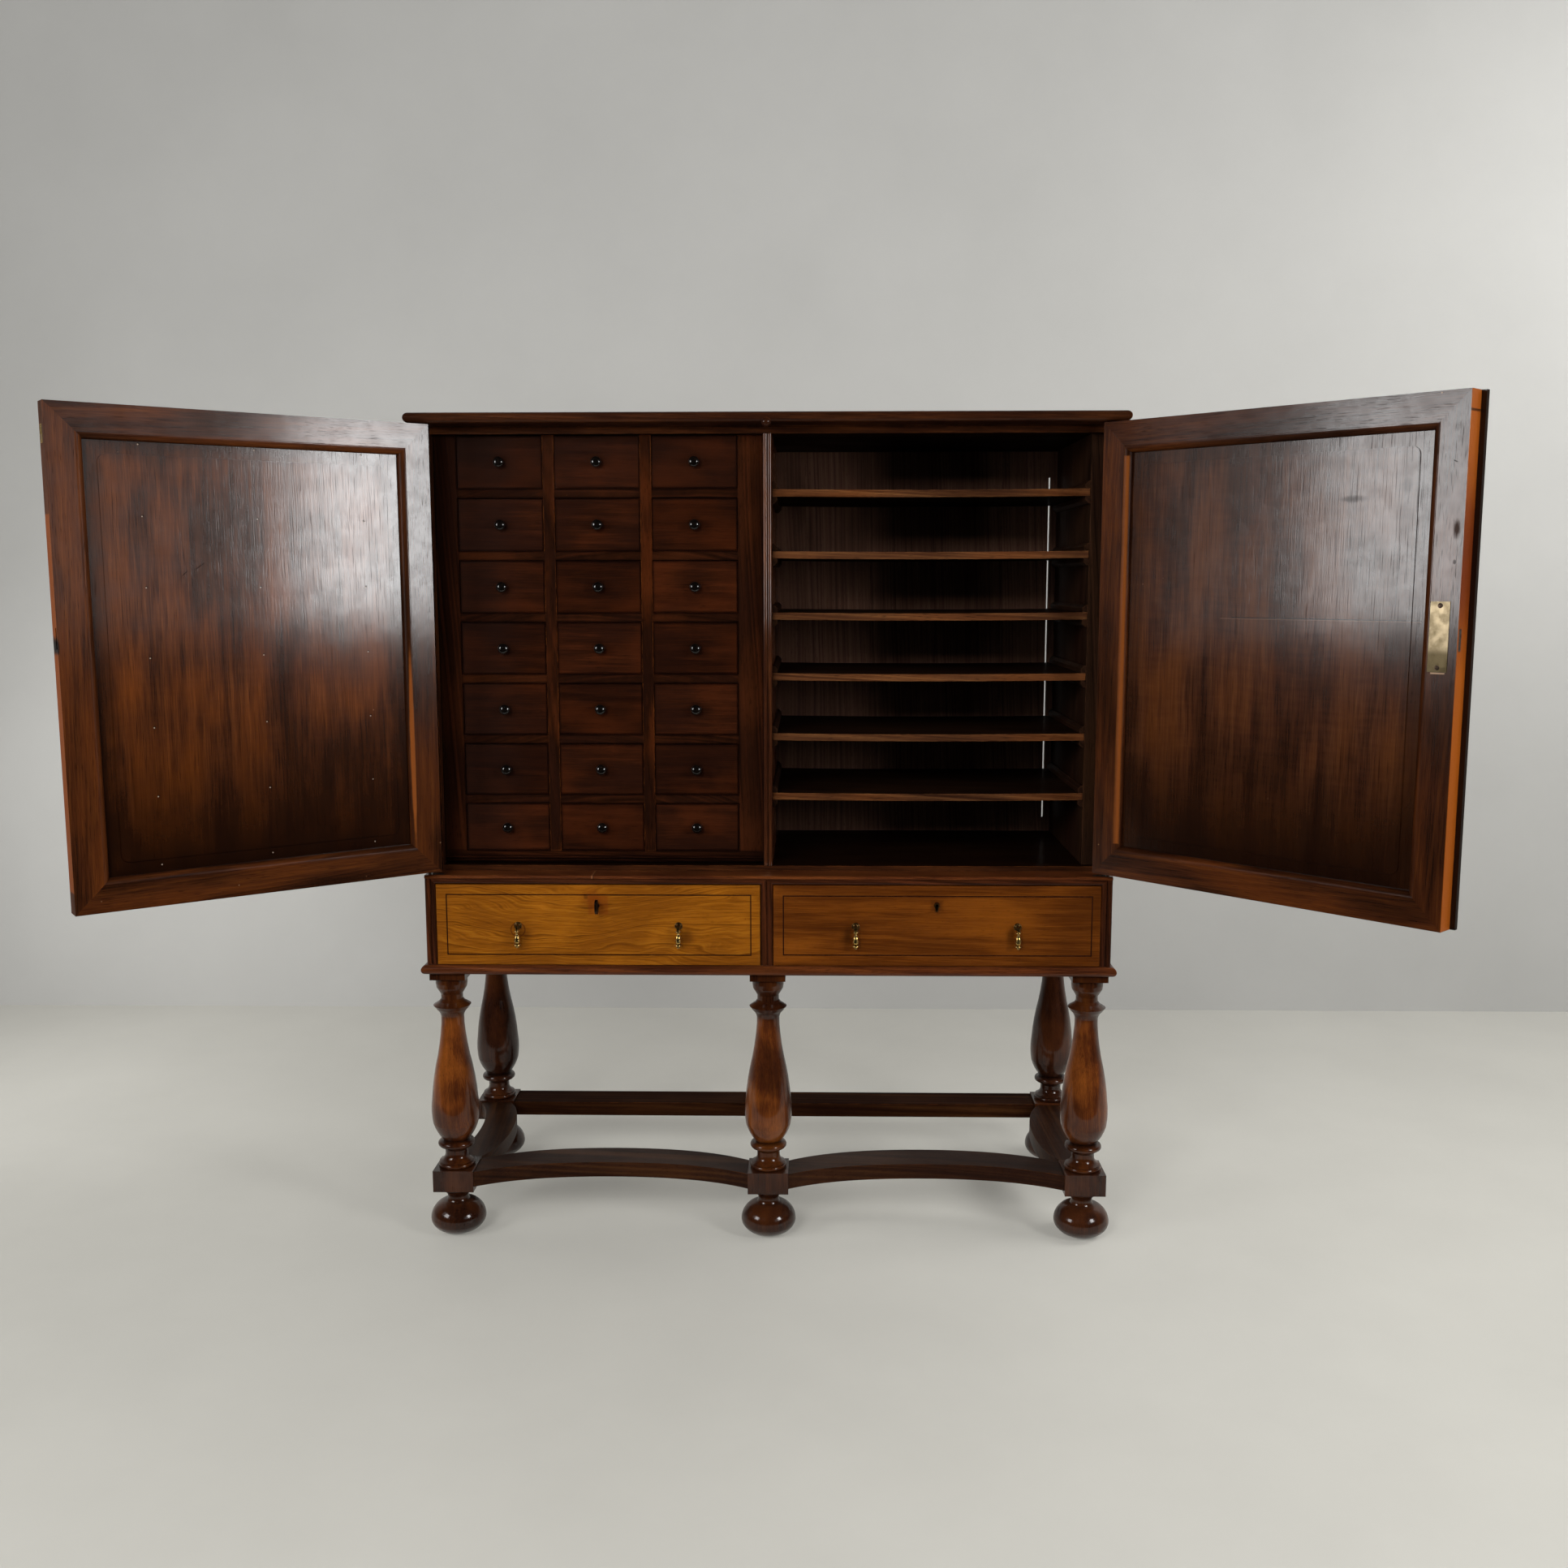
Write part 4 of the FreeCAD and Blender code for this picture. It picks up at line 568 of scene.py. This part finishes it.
def metal(name, look, door=None, marks=()):
    material, add = newMaterial(name)
    place = millimetres(add, door)
    patches = add("TexNoise", None, {
        "Vector": place, "Scale": 1 / look["spot"], "Detail": 5.0, "Roughness": 0.65})
    tarnish = add("MapRange", smooth, {
        "Value": patches, "From Min": 0.4, "From Max": 0.65, "To Max": look["share"]})
    colour = add("Mix", {"data_type": "RGBA"}, {
        0: tarnish, 6: look["bright"], 7: look["dull"]}).outputs[2]
    for mark in marks:
        colour = paintMark(add, place, patches, colour, mark)[0]
    rough = add("MapRange", None, {
        "Value": patches, "From Min": 0.3, "From Max": 0.7,
        "To Min": look["roughness"][0], "To Max": look["roughness"][1]})
    # marks of the file, a little askew
    scratches = stretched(add, place, 0.4, 20 / 3, 3.0, 0.7, (0.2, 0.1, 0))
    bump = add("Bump", None, {"Strength": 0.2, "Distance": 0.0002, "Height": scratches})
    shader = add("BsdfPrincipled", None, {
        "Base Color": colour, "Roughness": rough, "Metallic": 1.0, "Normal": bump})
    add("OutputMaterial", None, {"Surface": shader})
    return material


# Knobs: turned hardwood stained black and polished, so each shows the windows as small points
ebonyLook = {"colour": "#080605", "rub": "#1c120c", "spot": 6.0, "roughness": 0.3}


def ebonised(name, look):
    material, add = newMaterial(name)
    place = millimetres(add)
    rub = add("TexNoise", None, {
        "Vector": place, "Scale": 1 / look["spot"], "Detail": 4.0, "Roughness": 0.6})
    rub = add("MapRange", None, {"Value": rub, "From Min": 0.5, "From Max": 0.8, "To Max": 0.6})
    colour = add("Mix", {"data_type": "RGBA"}, {0: rub, 6: look["colour"], 7: look["rub"]}).outputs[2]
    bump = add("Bump", None, {"Strength": 0.1, "Distance": 0.0003, "Height": rub})
    shader = add("BsdfPrincipled", None, {
        "Base Color": colour, "Roughness": look["roughness"], "IOR": 1.5, "Specular IOR Level": 0.1,
        "Normal": bump, "Coat Weight": 1.0, "Coat Roughness": 0.04})
    add("OutputMaterial", None, {"Surface": shader})
    return material


def boardsOf(mesh):
    # a number for each triangle, the same all over one board: boards are parted where they touch
    places = np.empty(len(mesh.vertices) * 3)
    mesh.vertices.foreach_get("co", places)
    places = places.reshape(-1, 3)
    corners = np.empty(len(mesh.loops), int)
    mesh.loops.foreach_get("vertex_index", corners)
    joined = np.unique(np.round(places, 5), axis=0, return_inverse=True)[1].reshape(-1)
    triangles = joined[corners].reshape(-1, 3)
    edges = np.concatenate([triangles[:, [0, 1]], triangles[:, [1, 2]], triangles[:, [2, 0]]])
    edges.sort(axis=1)
    keys = edges[:, 0] * (joined.max() + 1) + edges[:, 1]
    owners = np.tile(np.arange(len(triangles)), 3)
    order = np.argsort(keys, kind="stable")
    keys, owners = keys[order], owners[order]
    first = np.unique(keys, return_index=True)[1]
    pairs = first[np.diff(np.append(first, len(keys))) == 2]
    one, other = owners[pairs], owners[pairs + 1]
    labels = np.arange(len(triangles))
    while True:
        before = labels.copy()
        lowest = np.minimum(labels[one], labels[other])
        np.minimum.at(labels, one, lowest)
        np.minimum.at(labels, other, lowest)
        labels = labels[labels]
        if (labels == before).all():
            return labels, places[corners].reshape(-1, 3, 3)


# What tells one board of a node from another, in mm
parting = {
    "frontLegs": 150, "backStretcher": 300,        # depth
    "divider": (18, 26), "lockCase": 30,           # width
    "stile": 400,                                  # height
    "knob": 18, "drawerFront": 20,                 # thickness
    "flat": 0.9995,                                # cosine, for faces that look one way
}


def dress(name, woods, choose=lambda low, high: "all", facing=None):
    # each board of the node takes the wood that choose names for its low and high corner;
    # where facing is given, faces that look another way take the wood named with Edge
    mesh = nodes[name].data
    labels, triangles = boardsOf(mesh)
    slanted = np.zeros(len(labels), bool)
    if facing is not None:
        normals = np.cross(triangles[:, 1] - triangles[:, 0], triangles[:, 2] - triangles[:, 0])
        normals /= np.maximum(np.linalg.norm(normals, axis=1, keepdims=True), 1e-12)
        slanted = np.abs(normals @ np.array(facing)) < parting["flat"]
    mesh.materials.clear()
    order = []
    index = np.zeros(len(mesh.polygons), int)
    board = np.zeros(len(mesh.polygons))
    for label in np.unique(labels):
        mine = labels == label
        low = triangles[mine].min(axis=(0, 1)) * 1000
        high = triangles[mine].max(axis=(0, 1)) * 1000
        for part, ending in ((mine & ~slanted, ""), (mine & slanted, "Edge")):
            key = choose(low, high) + ending
            if part.any() and key not in order:
                order.append(key)
                mesh.materials.append(woods[key])
            if part.any():
                index[part] = order.index(key)
        # any fixed mix of its corners gives a board its own number
        board[mine] = (sum(low) * 0.6180 + sum(high) * 0.3247 + low[2] * 0.177) % 1
    mesh.polygons.foreach_set("material_index", index)
    mesh.attributes.new("board", "FLOAT", "FACE").data.foreach_set("value", board)
    mesh.update()


def longest(low, high):
    return "xyz"[int(np.argmax(high - low))]


def threeWays(name, look, marks=()):
    return {axis: wood(name + "_" + axis, look, axis, None, marks) for axis in "xyz"}


# the collars above and below the swelling have kept their dark polish
collar = {"full": -6, "none": 8, "uneven": 10, "colour": "#160804"}
legMarks = [
    {**collar, "box": (-900, 900, -300, 600, 440, 560), "share": 0.62},
    {**collar, "box": (-900, 900, -300, 600, 90, 197), "share": 0.6},
]
turned = wood("turned_walnut_french_polished", turnedWalnut, "z", None, legMarks)
darkAndShadedTurned = wood("turned_walnut_blackened_and_shaded", darkAndShadedTurnedWalnut, "z")
stand = threeWays("stand_walnut_waxed", standWalnut)
# the ledge over the drawers is split once, and has lost a corner to raw wood under the partition
caseMarks = [
    {"box": (-16, 6, -60, 10, 731, 745), "full": -2.2, "none": 1.8, "uneven": 6,
     "colour": "#9a7050", "share": 0.85},
    {"box": (-334.6, -333.0, -60, 10, 722, 744), "full": -0.3, "none": 0.6,
     "colour": "#0a0402", "share": 0.9},
    {"box": (-337.5, -334.5, -60, 10, 724, 744), "full": -1, "none": 1,
     "colour": "#8a5a3a", "share": 0.6},
]
case = threeWays("case_walnut_polished", caseWalnut, caseMarks)
dullStand = wood("stand_walnut_dusty_x", dullStandWalnut, "x")
upper = threeWays("upper_walnut_polished", upperWalnut)
partition = threeWays("partition_walnut_glossy", partitionWalnut)
plain = threeWays("drawer_oak_plain", plainOak)
bead = threeWays("bead_walnut_polished", beadWalnut)
nest = threeWays("nest_walnut_oiled", nestWalnut)
back = threeWays("back_oak_lightened", backOakLightened)
bay = threeWays("bay_oak_shaded", bayShadedOak)
# the shelves' faces take the painted shade, their front edges the plain oak
shelfWood = {
    "all": wood("shelf_oak_dusty", shelfShadedOak, "x"), "allEdge": wood("shelf_oak_rubbed", shelfOak, "x")}
# painted shade over the first column, in the shadow of the case's side; the top rows are darker too
drawerMarks = [
    {"box": (-640, -490, -200, 500, 700, 1600), "full": -30, "none": 60, "uneven": 40,
     "colour": "#1a100d", "share": 0.45},
    {"box": (-640, 0, -200, 500, 1440, 1600), "full": -40, "none": 60, "uneven": 60,
     "colour": "#150b08", "share": 0.4},
]
drawerWood = wood("drawer_walnut_shellac", drawerWalnut, "x", None, drawerMarks)
brass = metal("brass_cast_browned", brassLook)
dropBrass = metal("brass_cast_rubbed", dropBrassLook)
lockBrass = metal("brass_rolled_worn", lockBrassLook, "right", lockMarks)
plateBrass = metal("brass_rolled_clean", plateBrassLook)
steel = metal("steel_filed_rusted", steelLook)
keyIron = metal("iron_forged_dark", keyLook)
ebony = ebonised("hardwood_ebonised", ebonyLook)
print("materials made")

# the back legs take the darker walnut: painted shade under the case
dress("turned_legs", {"front": turned, "back": darkAndShadedTurned},
      lambda low, high: "front" if high[1] < parting["frontLegs"] else "back")
for name in ("bun_feet", "stretcher_blocks"):
    dress(name, {"all": darkAndShadedTurned})
dress("stretchers", {**stand, "dull": dullStand},
      lambda low, high: "dull" if low[1] > parting["backStretcher"] else longest(low, high))
for name in ("base_moulding", "stand_case"):
    dress(name, case, longest)
dress("cornice", upper, longest)
# the gables' front edges and the case boards' faces take the painted shade
dress("gables", {"all": upper["z"], "allEdge": wood("gable_edge_shaded", shadedCaseWalnut, "z")},
      facing=(1, 0, 0))
dress("case_boards", {"all": wood("case_board_shaded", shadedCaseWalnut, "x"), "allEdge": upper["x"]},
      facing=(0, 0, 1))
dress("centre_partition", partition, longest)
dress("stand_front", bead, longest)


def nestPiece(low, high):
    thinnest, thickest = parting["divider"]
    return "divider" if thinnest < high[0] - low[0] < thickest else longest(low, high)


dress("drawer_nest", {**nest, "divider": wood("divider_walnut_oiled_z", dividerWalnut, "z")}, nestPiece)
# the back boards take the lightened oak: painted light
dress("back_boards", back, longest)
# the runners take the darkened oak: painted shade
dress("shelf_runners", bay, longest)
for i in range(1, 7):
    dress("shelf_%d" % i, shelfWood, facing=(0, 0, 1))

for column in range(1, 4):
    for row in range(1, 8):
        name = "small_drawer_%d_%d" % (column, row)
        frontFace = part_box(name)[0].y * 1000 + parting["knob"]

        def drawerPiece(low, high):
            if low[1] < frontFace - 5:
                return "knob"
            return "front" if high[1] < frontFace + parting["drawerFront"] else longest(low, high)

        dress(name, {**plain, "front": drawerWood, "knob": ebony}, drawerPiece)

# Marks on the long drawers' fronts
pullShadow = {"full": 0.3, "none": 1.5, "uneven": 0.9, "share": 0.6}
frontMarks = {
    "left": [
        # the ghost of a larger rosette, and polish reddened round the keyhole
        {"at": (-480.7, 627.0), "size": (13.5, 13.5), "ring": 0.12, "full": 0.3,
         "colour": "#4a2208", "share": 0.85},
        {"box": (-346, -304, -60, 0, 655, 697), "full": -3, "none": 3, "uneven": 4,
         "colour": "#6b2a0a", "share": 0.4},
        {"at": (-334, 690), "size": (34, 28), "full": 0.4, "none": 1.4, "uneven": 0.9,
         "colour": "#5e2508", "share": 0.6},
        {"box": (-352, -345, -60, 0, 688, 697), "full": -1, "none": 1, "colour": "#2a1206", "share": 0.5},
        # painted shadow of the pulls on the wood beside them
        {**pullShadow, "at": (-156, 614), "size": (24, 24), "colour": "#3c1a05"},
        {**pullShadow, "at": (-467, 616), "size": (20, 20), "colour": "#3c1a05", "share": 0.5},
    ],
    "right": [
        # the keyhole is painted black: painted shade inside the hole
        {"at": (324.6, 678.5), "size": (4.6, 4.6), "full": 0.8, "none": 1.3, "colour": "#070302"},
        {"box": (322.6, 326.6, -60, 0, 667, 678), "full": 0, "none": 1.6, "colour": "#070302"},
        {"box": (312, 338, -60, 0, 664, 688), "full": -4, "none": 6, "uneven": 6,
         "colour": "#2a1004", "share": 0.5},
        # painted shadow of the pulls
        {**pullShadow, "at": (154, 616), "size": (18, 30), "colour": "#241003"},
        {**pullShadow, "at": (470, 618), "size": (18, 26), "colour": "#241003"},
    ],
}
for side, look in (("left", goldenWalnut), ("right", russetWalnut)):
    frontWood = wood("front_walnut_veneer_" + side, look, "x", None, frontMarks[side])
    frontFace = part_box("long_drawer_" + side)[0].y * 1000

    def longPiece(low, high):
        return "front" if low[1] < frontFace + 1 else longest(low, high)

    dress("long_drawer_" + side, {**plain, "front": frontWood}, longPiece)

for side, look in (("left", panelWalnut), ("right", panelWalnutRight)):
    turn = math.radians(doorStand[side]["turn"])
    facing = (-math.sin(turn), math.cos(turn), 0)
    frameWood = {
        "stile": wood("door_walnut_stile_" + side, doorWalnut, "z", side, frameMarks[side]),
        "stileEdge": wood("door_moulding_stile_" + side, mouldingWalnut, "z", side, frameMarks[side]),
        "rail": wood("door_walnut_rail_" + side, doorWalnut, "x", side),
        "railEdge": wood("door_moulding_rail_" + side, mouldingWalnut, "x", side),
    }
    dress("door_frame_" + side, frameWood,
          lambda low, high: "stile" if high[2] - low[2] > parting["stile"] else "rail", facing)
    panelWood = {
        "all": wood("panel_walnut_polished_" + side, look, "z", side, panelMarks[side]),
        "allEdge": wood("panel_step_walnut_" + side, {**look, "coat": 0.0}, "z", side, panelMarks[side]),
    }
    dress("door_panel_" + side, panelWood, facing=facing)

for i in range(1, 5):
    dress("pull_drop_%d" % i, {"all": dropBrass})
dress("flush_bolt_plate", {"all": plateBrass})
dress("drawer_key", {"all": keyIron})
for name in ("drawer_brass_left", "drawer_brass_right"):
    # the lock's case behind the front is steel
    dress(name, {"brass": brass, "case": steel},
          lambda low, high: "case" if high[0] - low[0] > parting["lockCase"] else "brass")
dress("door_lock", {"all": lockBrass})
for name in ("drawer_lock_bolt", "door_pivots", "flush_bolt", "lock_bolt"):
    dress(name, {"all": steel})
print("nodes dressed")


def newPiece(name, points, faces, material):
    mesh = bpy.data.meshes.new(name)
    mesh.from_pydata(points, [], faces)
    mesh.materials.append(material)
    piece = bpy.data.objects.new(name, mesh)
    bpy.context.scene.collection.objects.link(piece)
    return piece


# Inlaid strings on the long drawers: thin dark lines, in mm
stringLook = {
    "width": 2.3, "proud": 0.12, "sunk": 0.5,
    "left": (-617.7, -31.7, 578.0, 695.7), "right": (31.0, 620.9, 578.9, 694.5),
}


def stringInlay(side):
    x0, x1, z0, z1 = stringLook[side]
    half = stringLook["width"] / 2
    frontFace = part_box("long_drawer_" + side)[0].y * 1000
    y0 = frontFace - stringLook["proud"]
    y1 = frontFace + stringLook["sunk"]
    points = []
    for out, y in ((half, y1), (half, y0), (-half, y0), (-half, y1)):
        for x, z in ((x0 - out, z0 - out), (x1 + out, z0 - out), (x1 + out, z1 + out), (x0 - out, z1 + out)):
            points.append((x / 1000, y / 1000, z / 1000))
    faces = []
    for layer in range(4):
        for corner in range(4):
            after = (corner + 1) % 4
            up = (layer + 1) % 4
            faces.append((layer * 4 + corner, layer * 4 + after, up * 4 + after, up * 4 + corner))
    piece = newPiece("string_inlay_" + side, points, faces, stringWood)
    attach(piece, "long_drawer_" + side)


# Stained boxwood: nearly black, with a little brown in it
stringWood = wood("string_ebonised_boxwood", {
    **beadWalnut, "deep": "#1a0c06", "middle": "#2c1509", "pale": "#3d2010", "wearAndGapShadowShare": 0.0})
for side in ("left", "right"):
    stringInlay(side)
print("inlays laid")

# Slotted screws, countersunk: place in the door's own millimetres, and how far the slot is turned
screwLook = {
    "radius": 4.0, "slot": 0.55, "depth": 0.5, "sides": 28,
    "lock_upper": ("right", (-628.5, 38.02, 1253.6), "y", 35),
    "lock_lower": ("right", (-628.5, 38.02, 1157.6), "y", -50),
}
plateScrewLook = {
    "radius": 2.1, "slot": 0.3, "depth": 0.25, "sides": 20,
    "plate_upper": ("left", (640.77, 16.0, 1540.0), "x", 10),
    "plate_lower": ("left", (640.77, 16.0, 1515.0), "x", 70),
}


def screw(name, look, finish):
    # a sunk disc with the two halves of the head on it, the slot between them
    side, place, axis, turn = look[name]
    points = []
    faces = []
    step = 2 * math.pi / look["sides"]
    for i in range(look["sides"]):
        # hardly proud of the metal round it
        points.append((look["radius"] * math.cos(i * step), look["radius"] * math.sin(i * step), 0.01))
    faces.append(tuple(range(look["sides"])))
    start = math.asin(look["slot"] / look["radius"])
    for half in (0, math.pi):
        first = len(points)
        count = look["sides"] // 2 + 1
        for share, level in ((1.0, 0.0), (0.96, look["depth"])):
            for i in range(count):
                angle = half + start + (math.pi - 2 * start) * i / (count - 1)
                out = look["radius"] * share
                points.append((out * math.cos(angle), out * math.sin(angle), level))
        faces.append(tuple(range(first + count, first + 2 * count)))
        for i in range(count):
            after = (i + 1) % count
            faces.append((first + i, first + after, first + count + after, first + count + i))
    # the head looks along the named axis of the door
    aim = Matrix.Rotation(math.radians(90 if axis == "x" else -90), 4, "Y" if axis == "x" else "X")
    stand = doorStand[side]
    where = (Matrix.Translation((*stand["pivot"], 0)) @ Matrix.Rotation(math.radians(stand["turn"]), 4, "Z")
             @ Matrix.Translation([p / 1000 for p in place]) @ aim
             @ Matrix.Rotation(math.radians(turn), 4, "Z") @ Matrix.Scale(0.001, 4))
    piece = newPiece("screw_" + name, [where @ Vector(p) for p in points], faces, finish)
    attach(piece, "door_" + side)


for name in ("lock_upper", "lock_lower"):
    screw(name, screwLook, keyIron)
for name in ("plate_upper", "plate_lower"):
    screw(name, plateScrewLook, brass)
print("screws set")

# Studio: pale floor and wall, two windows and the rooms round them that the polish mirrors,
# three lamps that it doesn't, and a faint plain light from everywhere
studio = {
    "floor": "#c4c2ba", "wall": "#b8b7b3", "wallY": 1.58, "nearY": -0.7, "reach": 18, "height": 9,
    "lamps": [
        # name, place, aim, width, height, watts, seen in the polish
        ("rightWindow", (2.35, -1.84, 1.62), (-0.7, 0.0, 1.3), 0.7, 0.95, 40, True),
        ("rightRoom", (2.38, -2.6, 1.62), (-0.7, -1.2, 1.3), 1.9, 1.1, 6, True),
        ("leftWindow", (-2.40, -1.74, 1.60), (0.9, -0.2, 1.3), 0.95, 0.95, 30, True),
        ("leftRoom", (-2.43, -1.4, 1.60), (0.9, -0.2, 1.3), 1.6, 1.1, 5, True),
        ("mainLight", (-1.3, -3.8, 2.6), (0.2, 0.1, 0.5), 1.4, 1.2, 108, False),
        ("highBack", (3.2, 0.0, 2.6), (0.5, 1.4, 0.2), 2.0, 1.2, 74, False),
        ("lowBack", (-2.1, 0.6, 0.8), (-0.9, 1.5, 0.2), 1.0, 0.8, 7, False),
    ],
    "world": "#ffffff", "worldStrength": 0.07, "scuffSize": 420.0,
    "glow": 0.3,      # share of the floor's and wall's colour that needs no light
}


def paintedSurface(name, colour):
    # matt emulsion or floor paint: even, with faint scuffs
    material, add = newMaterial(name)
    place = millimetres(add)
    scuffs = add("TexNoise", None, {
        "Vector": place, "Scale": 1 / studio["scuffSize"], "Detail": 6.0, "Roughness": 0.6})
    lift = add("MapRange", None, {
        "Value": scuffs, "From Min": 0.3, "From Max": 0.7, "To Min": 0.97, "To Max": 1.03})
    tint = add("HueSaturation", None, {"Color": colour, "Value": lift})
    shader = add("BsdfPrincipled", None, {
        "Base Color": tint, "Roughness": 0.55, "Specular IOR Level": 0.3})
    rays = add("LightPath").outputs
    seen = rays["Is Camera Ray"]
    for other in ("Is Glossy Ray", "Is Transmission Ray"):
        seen = add("Math", {"operation": "ADD", "use_clamp": True}, {0: seen, 1: rays[other]})
    seen = add("Math", multiply, {0: seen, 1: studio["glow"]})
    even = add("Emission", None, {"Color": tint, "Strength": 1.0})
    shader = add("MixShader", None, {0: seen, 1: shader, 2: even})
    backFace = add("NewGeometry").outputs["Backfacing"]
    clear = add("BsdfTransparent")
    both = add("MixShader", None, {0: backFace, 1: shader, 2: clear})
    add("OutputMaterial", None, {"Surface": both})
    return material


def sheetOf(name, corners, material):
    piece = newPiece(name, corners, [(0, 1, 2, 3)], material)
    return piece


wallY = studio["wallY"]
near = studio["nearY"]
far = studio["reach"]
top = studio["height"]
floorPaint = paintedSurface("floor_paint", studio["floor"])
sheetOf("floor", [(-far, near, 0), (far, near, 0), (far, wallY, 0), (-far, wallY, 0)], floorPaint)
# the polish doesn't mirror the floor far in front, as the photographed doors don't
floorFront = sheetOf(
    "floor_front", [(-far, -far, 0), (far, -far, 0), (far, near, 0), (-far, near, 0)], floorPaint)
floorFront.visible_glossy = False
sheetOf("wall", [(-far, wallY, 0), (far, wallY, 0), (far, wallY, top), (-far, wallY, top)],
        paintedSurface("wall_emulsion", studio["wall"]))

for name, place, aim, width, height, watts, mirrored in studio["lamps"]:
    light = bpy.data.lights.new(name, "AREA")
    light.shape = "RECTANGLE"
    light.size = width
    light.size_y = height
    light.energy = watts
    lamp = bpy.data.objects.new(name, light)
    lamp.visible_camera = False
    lamp.visible_glossy = mirrored
    lamp.location = place
    lamp.rotation_mode = "QUATERNION"
    lamp.rotation_quaternion = (Vector(aim) - Vector(place)).to_track_quat("-Z", "Y")
    bpy.context.scene.collection.objects.link(lamp)

world = bpy.data.worlds.new("studioLight")
bpy.context.scene.world = world
world.use_nodes = True
world.cycles_visibility.glossy = False
ground = world.node_tree.nodes["Background"]
ground.inputs["Color"].default_value = linear(studio["world"])
ground.inputs["Strength"].default_value = studio["worldStrength"]

# The photograph's camera, fitted to the case's straight edges: mm, metres and degrees
view = {"lens": 34.33, "sensor": 36, "place": (0.0879, -2.848, 1.2928), "turn": (82.258, 0.062, 1.123)}
camera = bpy.data.cameras.new("camera")
camera.lens = view["lens"]
camera.sensor_width = view["sensor"]
eye = bpy.data.objects.new("camera", camera)
eye.location = view["place"]
eye.rotation_euler = [math.radians(angle) for angle in view["turn"]]
bpy.context.scene.collection.objects.link(eye)
bpy.context.scene.camera = eye
bpy.context.scene.view_settings.view_transform = "Standard"
print("studio set")
